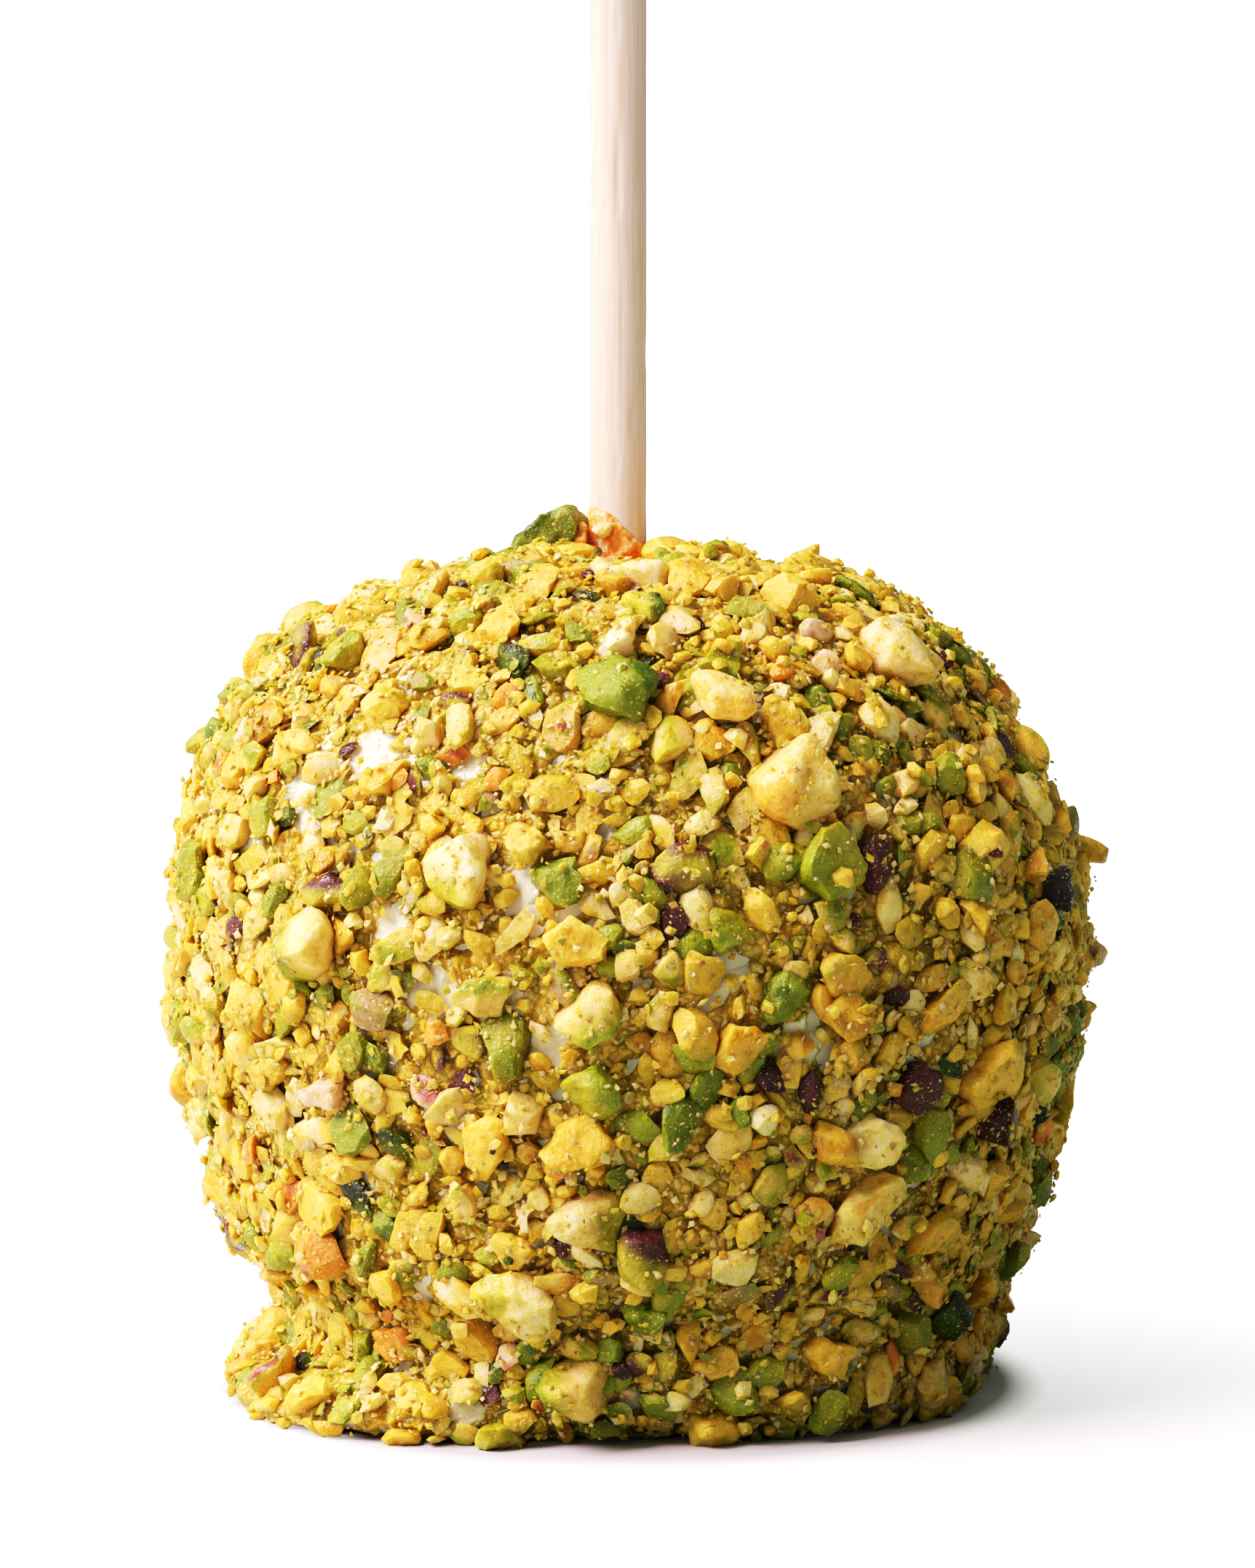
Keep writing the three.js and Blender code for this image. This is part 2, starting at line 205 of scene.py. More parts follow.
def coat_point(along, azimuth):
    """A point of the coat, from 0 under the foot to 1 at the stick."""
    along, azimuth = np.broadcast_arrays(np.asarray(along, float), np.asarray(azimuth, float))
    radius, height = outline_point(along)
    share = np.minimum(radius / 36, 1) ** 3
    foot = (0.5 + 5.4 * hump(azimuth, -56, 30) - 5.8 * hump(azimuth, 2, 30)
            - 2.2 * hump(azimuth, 95, 35) + 1.5 * hump(azimuth, -160, 40))
    crease = 1.8 + 2.4 * hump(azimuth, -90, 50) + hump(azimuth, -10, 40) - hump(azimuth, 90, 45)
    turn = np.radians(azimuth)
    reach = radius + share * (
        foot * np.exp(-(np.maximum(height - 1, 0) / 3.2) ** 2)
        - crease * np.exp(-((height - 9.3) / 5.4) ** 4)
        - 1.3 * np.sin(turn) * np.exp(-((height - 66) / 9) ** 2))
    return np.stack([APPLE_OFFSET + reach * np.sin(turn), -reach * np.cos(turn), height], -1)


def unit(vectors):
    return vectors / np.maximum(np.linalg.norm(vectors, axis=-1, keepdims=True), 1e-9)


def coat_frame(along, azimuth):
    """The coat's outward normal, and its level and rising directions."""
    low, high = np.maximum(along - 0.004, 0), np.minimum(along + 0.004, 1)
    rise = unit(coat_point(high, azimuth) - coat_point(low, azimuth))
    level = unit(coat_point(along, azimuth + 1) - coat_point(along, azimuth - 1))
    out = unit(np.cross(level, rise))
    return out, level, np.cross(out, level)


def along_at_height(height):
    """The place on the outline where it has the given height above the foot."""
    low, high = FOOT_RIM, 1.0
    for _ in range(30):
        middle = (low + high) / 2
        if outline_point(np.array(middle))[1] < height:
            low = middle
        else:
            high = middle
    return (low + high) / 2


def area_table(steps=400):
    """The coat's area below each of many places along the outline."""
    radius, height = outline_point(FOOT_RIM + (1 - FOOT_RIM) * np.arange(steps + 1) / steps)
    rings = (radius[1:] + radius[:-1]) * np.hypot(np.diff(radius), np.diff(height))
    return np.concatenate([[0], np.cumsum(rings)])


AREAS = area_table()


def along_at_share(share):
    """The place on the outline below which the given share of the area lies."""
    reached = np.searchsorted(AREAS, np.asarray(share) * AREAS[-1])
    return FOOT_RIM + (1 - FOOT_RIM) * reached / (len(AREAS) - 1)


# Places where the nut meal is thin and the coat shows: azimuth, height, radius.
BARE_SPOTS = [
    (-43, 60, 5), (-34, 64, 4), (-23, 43, 4.4), (-12, 52, 3.4), (-14, 42, 4.6), (11, 44.5, 3),
    (20, 38, 3.8), (-24, 4, 3.6), (72, 3, 3.4), (-53, 56, 3.2), (-28, 48, 3), (-7, 45, 2.8), (-9, 38, 3.4),
    (-30, 36, 3.2), (-20, 63, 3), (-3, 57, 2.6), (128, 55, 4.4), (165, 38, 4.8), (-140, 48, 4.4),
    (-110, 30, 3.6), (100, 25, 3.4), (-165, 68, 4),
]


def bareness(points):
    """How bare the coat is at each point, from 0 to 1."""
    bare = np.zeros(len(points))
    for azimuth, height, radius in BARE_SPOTS:
        middle = coat_point(along_at_height(height), azimuth)
        apart = np.linalg.norm(points - middle, axis=-1)
        bare = np.maximum(bare, 1 - smoothstep(apart, 0.25 * radius, 0.95 * radius))
    return bare


# ---- Meshes ----

def add_object(name, data):
    """A new object in the scene, made of a mesh, a light or a camera."""
    thing = bpy.data.objects.new(name, data)
    bpy.context.scene.collection.objects.link(thing)
    return thing


def add_mesh(name, vertices, faces, material, sharp=None):
    """A mesh object from points in millimetres and equal-sided faces."""
    mesh = bpy.data.meshes.new(name)
    mesh.vertices.add(len(vertices))
    mesh.vertices.foreach_set("co", (vertices * MM).astype(np.float32).ravel())
    mesh.loops.add(faces.size)
    mesh.loops.foreach_set("vertex_index", faces.astype(np.int32).ravel())
    mesh.polygons.add(len(faces))
    mesh.polygons.foreach_set("loop_start", np.arange(0, faces.size, faces.shape[1], dtype=np.int32))
    mesh.polygons.foreach_set("use_smooth", np.ones(len(faces), bool))
    mesh.update(calc_edges=True)
    if sharp is not None:
        mesh.set_sharp_from_angle(angle=math.radians(sharp))
    mesh.materials.append(material)
    piece = add_object(name, mesh)
    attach(piece, "root")
    return piece


def store(piece, name, values, kind="FLOAT", domain="POINT"):
    """Keeps a number or a vector for each point or face of a piece."""
    layer = piece.data.attributes.new(name, kind, domain)
    field = "value" if kind == "FLOAT" else "vector"
    layer.data.foreach_set(field, values.astype(np.float32).ravel())


def sphere_mesh(subdivisions):
    """Points and triangles of a unit icosphere."""
    shape = bmesh.new()
    bmesh.ops.create_icosphere(shape, subdivisions=subdivisions, radius=1)
    points = np.array([vertex.co[:] for vertex in shape.verts])
    faces = np.array([[vertex.index for vertex in face.verts] for face in shape.faces])
    shape.free()
    return unit(points), faces


def octahedron_mesh():
    """Points and triangles of a unit octahedron."""
    points = np.vstack([np.eye(3), -np.eye(3)])
    faces = []
    for side in range(4):
        near, far = (0, 1, 3, 4)[side], (1, 3, 4, 0)[side]
        faces += [(near, far, 2), (far, near, 5)]
    return points, np.array(faces)


def split_sphere(points, faces):
    """The same sphere with each triangle split into four."""
    halfway = {}
    points = list(points)

    def middle(first, second):
        key = (min(first, second), max(first, second))
        if key not in halfway:
            halfway[key] = len(points)
            points.append(points[first] + points[second])
        return halfway[key]

    split = []
    for one, two, three in faces:
        a, b, c = middle(one, two), middle(two, three), middle(three, one)
        split += [(one, a, c), (a, two, b), (c, b, three), (a, b, c)]
    return unit(np.array(points)), np.array(split)


def ring_quads(first, last, sides):
    """Four-sided faces between closed rings of points, from one ring to another."""
    ring = np.arange(first, last)[:, None] * sides
    side = np.arange(sides)
    after = (side + 1) % sides
    quads = np.stack([ring + side, ring + after, ring + sides + after, ring + sides + side], -1)
    return quads.reshape(-1, 4)


def closed_tube(points, first, last, sides, ends):
    """Points and triangles for rings of points, from one ring to another, closed
    with a fan to one more point at each end."""
    quads = ring_quads(first, last, sides)
    side = np.arange(sides)
    after = (side + 1) % sides
    low = np.full(sides, len(points))
    bottom = np.stack([low, first * sides + after, first * sides + side], -1)
    top = np.stack([low + 1, last * sides + side, last * sides + after], -1)
    faces = np.vstack([quads[:, [0, 1, 2]], quads[:, [0, 2, 3]], bottom, top])
    return np.vstack([points, ends]), faces


def ring_grid(steps, sides):
    """Each step along a tube, with each turn round it."""
    turn = 2 * np.pi * np.arange(sides) / sides
    return [grid.ravel() for grid in np.meshgrid(steps, turn, indexing="ij")]


def polar(reach, turn, height):
    """Points at a distance from the stick's axis, a turn round it and a height."""
    return np.stack([reach * np.cos(turn), reach * np.sin(turn), height], -1)


def coat_skin(rings, sides, lift):
    """A closed skin over the coat: `lift` gives its height over each point."""
    along, azimuth = np.broadcast_arrays(
        (np.arange(rings + 1) / rings)[:, None], 360 * np.arange(sides) / sides)
    points = coat_point(along, azimuth).reshape(-1, 3)
    out = np.nan_to_num(coat_frame(along, azimuth)[0].reshape(-1, 3))
    points = points + out * lift(points)[:, None]
    points[:, 2] = np.maximum(points[:, 2], 0)
    ends = [points[:sides].mean(0), points[-sides:].mean(0)]
    points, faces = closed_tube(points, 1, rings - 1, sides, ends)
    used, new = np.unique(faces, return_inverse=True)
    return points[used], new.reshape(faces.shape)


# ---- Materials ----

class Nodes:
    """A short way to write the nodes of a new material, or of a new world."""

    def __init__(self, name, kind="materials", shader="Principled BSDF"):
        self.owner = getattr(bpy.data, kind).new(name)
        self.owner.use_nodes = True
        self.tree = self.owner.node_tree
        self.shader = self.tree.nodes[shader]

    def put(self, value, socket):
        """Links one socket to another, or sets a value on it."""
        if isinstance(value, bpy.types.NodeSocket):
            self.tree.links.new(value, socket)
        else:
            socket.default_value = value

    def add(self, kind, inputs=None, **settings):
        node = self.tree.nodes.new("ShaderNode" + kind)
        for key, value in settings.items():
            setattr(node, key, value)
        for key, value in (inputs or {}).items():
            self.put(value, node.inputs[key])
        return node

    def set(self, **values):
        """Links or sets the shader's sockets, named with _ for a space."""
        for key, value in values.items():
            self.put(value, self.shader.inputs[key.replace("_", " ")])

    def place(self):
        return self.add("TexCoord").outputs["Object"]

    def seen(self):
        """1 for what the camera sees itself, and 0 for light and reflections."""
        return self.add("LightPath").outputs["Is Camera Ray"]

    def across(self):
        return self.add("SeparateXYZ", {"Vector": self.place()}).outputs["X"]

    def distance(self, x, y):
        """How far each place is from a point on the floor, given in millimetres."""
        inputs = {0: self.place(), 1: (x * MM, y * MM, 0)}
        return self.add("VectorMath", inputs, operation="DISTANCE").outputs["Value"]

    def stored(self, name, output="Fac"):
        return self.add("Attribute", attribute_name=name).outputs[output]

    def math(self, first, second, operation="MULTIPLY"):
        return self.add("Math", {0: first, 1: second}, operation=operation).outputs["Value"]

    def noise(self, size, detail=3, roughness=0.5, place=None):
        """Noise with lumps of `size` millimetres."""
        inputs = {"Vector": place or self.place(), "Scale": 1 / (size * MM),
                  "Detail": detail, "Roughness": roughness}
        return self.add("TexNoise", inputs).outputs["Fac"]

    def ramp(self, factor, *stops):
        """A colour ramp through (position, linear colour) stops."""
        node = self.add("ValToRGB", {"Fac": factor})
        elements = node.color_ramp.elements
        while len(elements) < len(stops):
            elements.new(0.5)
        for element, (position, value) in zip(elements, stops):
            element.position = position
            element.color = (*value, 1)
        return node.outputs["Color"]

    def span(self, factor, low, high, to_low=0, to_high=1):
        inputs = {"Value": factor, "From Min": low, "From Max": high, "To Min": to_low, "To Max": to_high}
        return self.add("MapRange", inputs).outputs["Result"]

    def mix(self, factor, first, second, blend="MIX"):
        """Two colours mixed, each a socket or its red, green and blue."""
        first, second = (value if isinstance(value, bpy.types.NodeSocket) else (*value, 1)
                         for value in (first, second))
        inputs = {0: factor, 6: first, 7: second}
        return self.add("Mix", inputs, data_type="RGBA", blend_type=blend).outputs[2]

    def bump(self, height, distance, strength=1, normal=None):
        inputs = {"Height": height, "Distance": distance * MM, "Strength": strength}
        if normal:
            inputs["Normal"] = normal
        return self.add("Bump", inputs).outputs["Normal"]


OILY_GLOW = (0.85, 0.75, 0.2)  # how far red, green and blue light spreads in the nuts


def nut_material():
    """Broken pistachio: its own tint, with painted shade low on each piece, mottled from pale to deep, with
    brown flecks and a dusting of fine meal, rough where it is broken and waxy on its skin."""
    nodes = Nodes("chopped_nut")
    broken = nodes.span(nodes.stored("skin"), 0, 1, 1, 0.3)
    mottled = nodes.ramp(
        nodes.noise(1.3, 5, 0.62), (0.3, (0.68, 0.61, 0.27)), (0.42, (0.93, 0.9, 0.66)),
        (0.55, (1.05, 1, 1.15)), (0.7, (1.15, 1.06, 1.7)))
    # the stored tint carries each piece's colours and the painted shade low on it
    base = nodes.mix(1, nodes.stored("tint", "Vector"), mottled, "MULTIPLY")
    fleck = nodes.span(nodes.noise(0.5, 2), 0.68, 0.74, 0, 0.45)
    dust = nodes.math(nodes.span(nodes.noise(0.26, 2), 0.64, 0.68, 0, 0.85), broken)
    base = nodes.mix(dust, nodes.mix(fleck, base, RUST * 0.5), CREAM)
    grain = nodes.bump(nodes.noise(0.25, 4, 0.7), 0.11, broken)
    nodes.set(Base_Color=base, Normal=nodes.bump(nodes.noise(0.9, 3, 0.6), 0.4, 0.9, grain),
              Roughness=nodes.span(nodes.noise(0.6), 0.35, 0.65, 0.1, 0.3), Specular_IOR_Level=0.5,
              Subsurface_Weight=0.6, Subsurface_Scale=2.2 * MM, Subsurface_Radius=OILY_GLOW)
    return nodes.owner


def bed_material():
    """Nut meal: crumbs of many yellows and greens, pressed into an oily film, with painted shade in its
    grooves and between the crumbs and painted light on its ridges; the white shows through where it is thin."""
    nodes = Nodes("nut_meal")
    crumb_size = 0.85
    cells, edges = (
        nodes.add("TexVoronoi", {"Vector": nodes.place(), "Scale": 1 / (crumb_size * MM)}, feature=feature)
        for feature in ("F1", "DISTANCE_TO_EDGE"))
    pick = nodes.add("SeparateColor", {"Color": cells.outputs["Color"]}).outputs["Red"]
    crumb = nodes.ramp(pick, (0, GOLDEN), (0.25, YELLOW), (0.42, PALE), (0.52, OLIVE), (0.64, CREAM),
                       (0.76, LIME), (0.9, GREEN), (1, AMBER))
    smear = nodes.ramp(nodes.noise(3.4, 4), (0.32, GOLDEN), (0.44, YELLOW), (0.54, PALE), (0.62, LIME),
                       (0.74, YELLOW))
    cracks = edges.outputs["Distance"]
    # painted shade in the gaps between the crumbs
    base = nodes.mix(nodes.span(cracks, 0, 0.1, 0.45, 0), nodes.mix(0.32, crumb, smear), OLIVE * 0.45)
    # painted shade in the grooves and painted light on the ridges, from each point's height over the surface
    # round it
    depth = nodes.ramp(nodes.stored("relief_shading"), (0, (0.73, 0.72, 0.42)), (0.5, (0.97, 0.97, 0.8)),
                       (1, (1.06, 1.04, 1.2)))
    base = nodes.mix(1, base, depth, "MULTIPLY")
    base = nodes.mix(nodes.span(nodes.noise(0.26, 2), 0.64, 0.68, 0, 0.5), base, PALE)
    ragged = nodes.math(nodes.stored("thin"), nodes.noise(0.9, 4, 0.65), "ADD")
    white = nodes.span(ragged, 0.92, 1.18)
    broken = nodes.span(white, 0, 1, 1, 0.2)
    grain = nodes.bump(nodes.noise(0.4, 3, 0.6), 0.08, broken)
    nodes.set(Base_Color=nodes.mix(nodes.span(white, 0, 1, 0, 0.93), base, COAT_WHITE),
              Normal=nodes.bump(nodes.span(cracks, 0, 0.3), 0.3, broken, grain), Roughness=0.24,
              Specular_IOR_Level=0.5, Subsurface_Weight=0.6, Subsurface_Scale=2 * MM,
              Subsurface_Radius=OILY_GLOW)
    return nodes.owner


def coat_material():
    """White chocolate with a faint cool cast, waxy and slightly mottled."""
    nodes = Nodes("white_coat")
    mottled = nodes.span(nodes.noise(3), 0.35, 0.65)
    nodes.set(Base_Color=nodes.mix(mottled, COAT_WHITE * (0.86, 0.93, 1), COAT_WHITE),
              Normal=nodes.bump(nodes.noise(1.6), 0.25, 0.6), Roughness=0.38, Specular_IOR_Level=0.5,
              Subsurface_Weight=0.2, Subsurface_Scale=2 * MM)
    return nodes.owner


def wood_material():
    """Pale birch: fine straight grain along the stick, with painted shade on its brightly lit left side and
    painted light on its right side.
    """
    nodes = Nodes("stick_wood")
    along = nodes.add("Mapping", {"Vector": nodes.place(), "Scale": (1, 1, 0.035)}).outputs["Vector"]
    fine = nodes.noise(0.35, 4, 0.6, along)
    dull, plain, pale, grain = colours("edd6c0 f3e3d2 f8ece0 d8b49a")
    base = nodes.ramp(nodes.noise(1.6, place=along), (0.3, dull), (0.5, plain), (0.72, pale))
    base = nodes.mix(nodes.span(fine, 0.5, 0.75, 0, 0.55), base, grain)
    # painted shade on the left side, where the key light falls, and painted light on the right side
    sides = nodes.mix(nodes.span(nodes.across(), -2.2 * MM, 2.4 * MM), (0.8, 0.8, 0.7), (1.04, 0.98, 1.12))
    nodes.set(Base_Color=nodes.mix(1, base, sides, "MULTIPLY"), Normal=nodes.bump(fine, 0.06, 0.7),
              Roughness=nodes.span(fine, 0.3, 0.7, 0.5, 0.72), Specular_IOR_Level=0.3)
    return nodes.owner


def caramel_material():
    """Set caramel with fine nut meal in it: orange, paler where it is thin."""
    nodes = Nodes("caramel")
    deep, bright, light, milky = colours("d87c34 ee9440 f8b266 fbd8a8")
    base = nodes.ramp(nodes.noise(1.1, 4, 0.6), (0.34, deep), (0.44, bright), (0.54, light), (0.64, milky))
    speck = nodes.span(nodes.noise(0.45, 2), 0.64, 0.7, 0, 0.8)
    grain = nodes.bump(nodes.noise(0.35), 0.15, 0.8)
    nodes.set(Base_Color=nodes.mix(speck, base, CREAM), Normal=nodes.bump(nodes.noise(1), 0.3, 0.8, grain),
              Roughness=0.32, Specular_IOR_Level=0.45, Subsurface_Weight=0.35, Subsurface_Scale=1.5 * MM,
              Subsurface_Radius=(1, 0.5, 0.15))
    return nodes.owner


# ---- Pieces of nut ----

class Nuts:
    """Pieces of nut of one size class, each an item of every array."""

    fields = ("seed", "middle", "out", "level", "up", "turn", "halves", "kind", "skin_side")

    def __init__(self, *values):
        for field, value in zip(self.fields, values):
            setattr(self, field, np.asarray(value, int if field == "kind" else float))
        self.skin_side = np.broadcast_to(self.skin_side, self.seed.shape)

    def pick(self, chosen):
        return Nuts(*[getattr(self, field)[chosen] for field in self.fields])

    def axes(self):
        """Each piece's own directions: along its length, across it, and out."""
        turn = np.radians(self.turn)[:, None]
        across = self.level * np.cos(turn) + self.up * np.sin(turn)
        along = self.up * np.cos(turn) - self.level * np.sin(turn)
        return np.stack([across, along, self.out], 1)


def join(*groups):
    return Nuts(*[np.concatenate([getattr(group, field) for group in groups]) for field in Nuts.fields])


def laid(seed, azimuth, along, sizes, lift, turn, kind, skin_side=np.nan):
    """Pieces that lie on the coat, from their length, width and thickness."""
    out, level, up = coat_frame(along, azimuth)
    middle = coat_point(along, azimuth) + out * lift[:, None]
    return Nuts(seed, middle, out, level, up, turn, np.stack(sizes, -1) / 2, kind, skin_side)


def nuts_on_coat(seed, azimuth, along, length, width, turn, kind, skin_side=np.nan):
    """Large pieces on the coat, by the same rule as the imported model's."""
    thickness = width * (0.6 + 0.3 * draw(seed, 1))
    lift = NUT_BED + thickness * (0.05 + 0.2 * draw(seed, 2))
    return laid(seed, azimuth, along, (length, width, thickness), lift, turn, kind, skin_side)


FULLNESS = 1.15  # makes up for what the broken faces take off


def face_planes(nuts, turn, level, rise, share):
    """Normals, and distances as a share of how far the piece reaches that way."""
    normal = np.stack([np.cos(turn) * level, np.sin(turn) * level, rise], -1)
    return normal, share * np.linalg.norm(normal * nuts.halves[:, None], axis=-1)


def broken_faces(nuts, cuts=5, nearest=0.55, furthest=0.95, tilt_most=0.45):
    """Each piece's broken faces: a ring of them round it and one on top, by the
    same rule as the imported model's."""
    face = np.arange(cuts)[None]
    seed = nuts.seed[:, None]
    turn = 2 * np.pi * (face / cuts + 0.17 * draw(seed, 10 + face))
    tilt = tilt_most * (2 * draw(seed, 20 + face) - 1)
    share = nearest + (furthest - nearest) * draw(seed, 30 + face)
    lean = 0.6 * draw(seed, 8)
    turn = np.concatenate([turn, 2 * np.pi * draw(seed, 9)], 1)
    tilt = np.concatenate([tilt, np.pi / 2 - lean], 1)
    share = np.concatenate([share, 0.5 + 0.35 * draw(seed, 7)], 1)
    return face_planes(nuts, turn, np.cos(tilt), np.sin(tilt), share)


def chipped_corners(nuts, cuts, nearest, furthest):
    """Smaller breaks, turned anyhow."""
    face = np.arange(cuts)[None]
    seed = nuts.seed[:, None]
    slope = 2 * draw(seed, 70 + face) - 1
    turn = 2 * np.pi * (face * 0.382 + 0.5 * draw(seed, 80 + face))
    share = nearest + (furthest - nearest) * draw(seed, 90 + face)
    return face_planes(nuts, turn, np.sqrt(1 - slope ** 2), slope, share)


def all_faces(nuts, broken, chipped):
    """Broken faces and chipped corners as one, each made with the given numbers."""
    kinds = zip(broken_faces(nuts, **broken), chipped_corners(nuts, **chipped))
    return [np.concatenate(parts, 1) for parts in kinds]


def kernel_scale(nuts):
    """How much larger the whole kernel was than the broken piece."""
    return 1.0 + 0.3 * draw(nuts.seed, 41)


def nearness(nuts, directions, planes):
    """One over how far the kernel and each broken face lie in each direction:
    the nearest of them, with the greatest value, is the piece's surface."""
    normal, distance = planes
    kernel = np.linalg.norm(directions / nuts.halves[:, None], axis=-1) / kernel_scale(nuts)[:, None]
    facing = np.einsum("nvx,nkx->nvk", directions, normal)
    bulge = (0.14 * draw(nuts.seed, 42))[:, None, None] * (1 - facing ** 2)
    cut = np.where(facing > 0, facing + bulge, 0) / distance[:, None]
    return np.concatenate([kernel[..., None], cut], -1)


def dents(nuts, directions):
    """What a hollow in each piece's upper side leaves of its reach."""
    turn = 2 * np.pi * draw(nuts.seed, 43)
    level = 0.75
    hollow = np.stack([level * np.cos(turn), level * np.sin(turn), np.full(len(turn), 0.66)], -1)
    apart = np.arccos(np.clip(np.einsum("nvx,nx->nv", directions, hollow), -1, 1))
    depth = 0.3 * draw(nuts.seed, 44)[:, None]
    return 1 - depth * np.exp(-(apart / 0.55) ** 2)


def snapped(nuts, directions, edges, planes):
    """The directions, with the nearest ones moved onto the edges between faces."""
    near = nearness(nuts, directions, planes)
    label = near.argmax(-1)
    first, second = edges[:, 0], edges[:, 1]
    piece, edge = np.nonzero(label[:, first] != label[:, second])
    start, end = first[edge], second[edge]
    start_label, end_label = label[piece, start], label[piece, end]
    lead = near[piece, start, start_label] - near[piece, start, end_label]
    lag = near[piece, end, end_label] - near[piece, end, start_label]
    part = lead / np.maximum(lead + lag, 1e-9)
    crossing = (directions[piece, start] * (1 - part[:, None]) + directions[piece, end] * part[:, None])
    moved = np.where(part < 0.5, start, end)
    cost = np.minimum(part, 1 - part)
    key = piece * directions.shape[1] + moved
    order = np.lexsort((cost, key))
    chosen = order[np.r_[True, np.diff(key[order]) > 0]]
    directions[piece[chosen], moved[chosen]] = unit(crossing[chosen])
    return directions


def softened(local, edges, share):
    """Each piece's points, drawn towards their neighbours by the piece's share."""
    count = local.shape[1]
    links = np.zeros((count, count))
    links[edges[:, 0], edges[:, 1]] = 1
    links[edges[:, 1], edges[:, 0]] = 1
    links /= links.sum(1, keepdims=True)
    around = np.einsum("uv,nvx->nux", links, local, optimize=True)
    return local * (1 - share) + around * share


PAINTED_LOW_SHADE = np.array([0.74, 0.73, 0.46])  # painted shade: what is left of the tint low on a piece, where it is sunk in the meal


def nut_colours(nuts, near, directions, local):
    """The tint where the surface has the given nearness: broken flesh, greener by the skin, then the skin
    itself, with painted shade low on the piece, where it is sunk in.
    Some pieces have skin on one side only, given in degrees from level."""
    flesh, rim, skin = (KIND_COLOURS[nuts.kind, part][:, None] for part in range(3))
    lead = near[..., 0] / np.maximum(near[..., 1:].max(-1), 1e-6)
    side = np.radians(nuts.skin_side - nuts.turn)[:, None]
    facing = directions[..., 0] * np.cos(side) + directions[..., 1] * np.sin(side)
    lead = np.where(np.isnan(facing), lead, 0.93 + 0.35 * (facing - 0.35))
    by_skin = smoothstep(lead, 0.7, 0.97)[..., None]
    on_skin = smoothstep(lead, 0.99, 1.03)
    tint = flesh * (1 - by_skin) + rim * by_skin
    tint = tint * (1 - on_skin[..., None]) + skin * on_skin[..., None]
    lightness = 0.88 + 0.25 * draw(nuts.seed, 40)[:, None, None]
    # painted shade: each piece darker towards its underside, where it is sunk in the meal
    sunk = 1 - smoothstep(local[..., 2] / nuts.halves[:, None, 2], -1.0, 0.25)[..., None]
    tint = tint * lightness * (1 - sunk * (1 - PAINTED_LOW_SHADE))
    return np.clip(tint, 0, 0.95), on_skin


def add_nuts(name, nuts, sphere, material, planes, rough, soft=0, sharp=24, by_face=False):
    """One mesh of all the pieces of a size class."""
    ball, faces = sphere
    edges = np.unique(np.sort(np.vstack([faces[:, [0, 1]], faces[:, [1, 2]], faces[:, [2, 0]]]), 1), axis=0)
    directions = np.repeat(ball[None], len(nuts.seed), 0)
    directions = snapped(nuts, directions, edges, planes)
    near = nearness(nuts, directions, planes)
    local = FULLNESS * directions / near.max(-1)[..., None]
    if rough:
        local = local * dents(nuts, directions)[..., None]
        places = (local + nuts.seed[:, None, None] * 7.31).reshape(-1, 3)
        chips = 1.3 * noise(places, 3.4, 9) + noise(places, 1.7, 5) + 0.5 * noise(places, 0.6, 6)
        chips = chips.reshape(near.shape[:2])
        local = local * (1 + rough * chips / nuts.halves.mean(-1)[:, None])[..., None]
    if soft:
        local = softened(local, edges, soft * (0.35 + 1.3 * draw(nuts.seed, 45))[:, None, None])
    points = nuts.middle[:, None] + np.einsum("nvk,nkx->nvx", local, nuts.axes())
    points[..., 2] = np.maximum(points[..., 2], 0)
    if by_face:
        directions = unit(directions[:, faces].mean(2))
        near = nearness(nuts, directions, planes)
        local = local[:, faces].mean(2)
    tint, skin = nut_colours(nuts, near, directions, local)
    offsets = np.arange(len(nuts.seed))[:, None, None] * len(ball)
    triangles = (faces[None] + offsets).reshape(-1, 3)
    piece = add_mesh(name, points.reshape(-1, 3), triangles, material, sharp)
    domain = "FACE" if by_face else "POINT"
    # the tint holds the painted shade low on each piece as well as its colours
    store(piece, "tint", tint, "FLOAT_VECTOR", domain)
    store(piece, "skin", skin, domain=domain)
    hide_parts("coated_apple")
    return piece


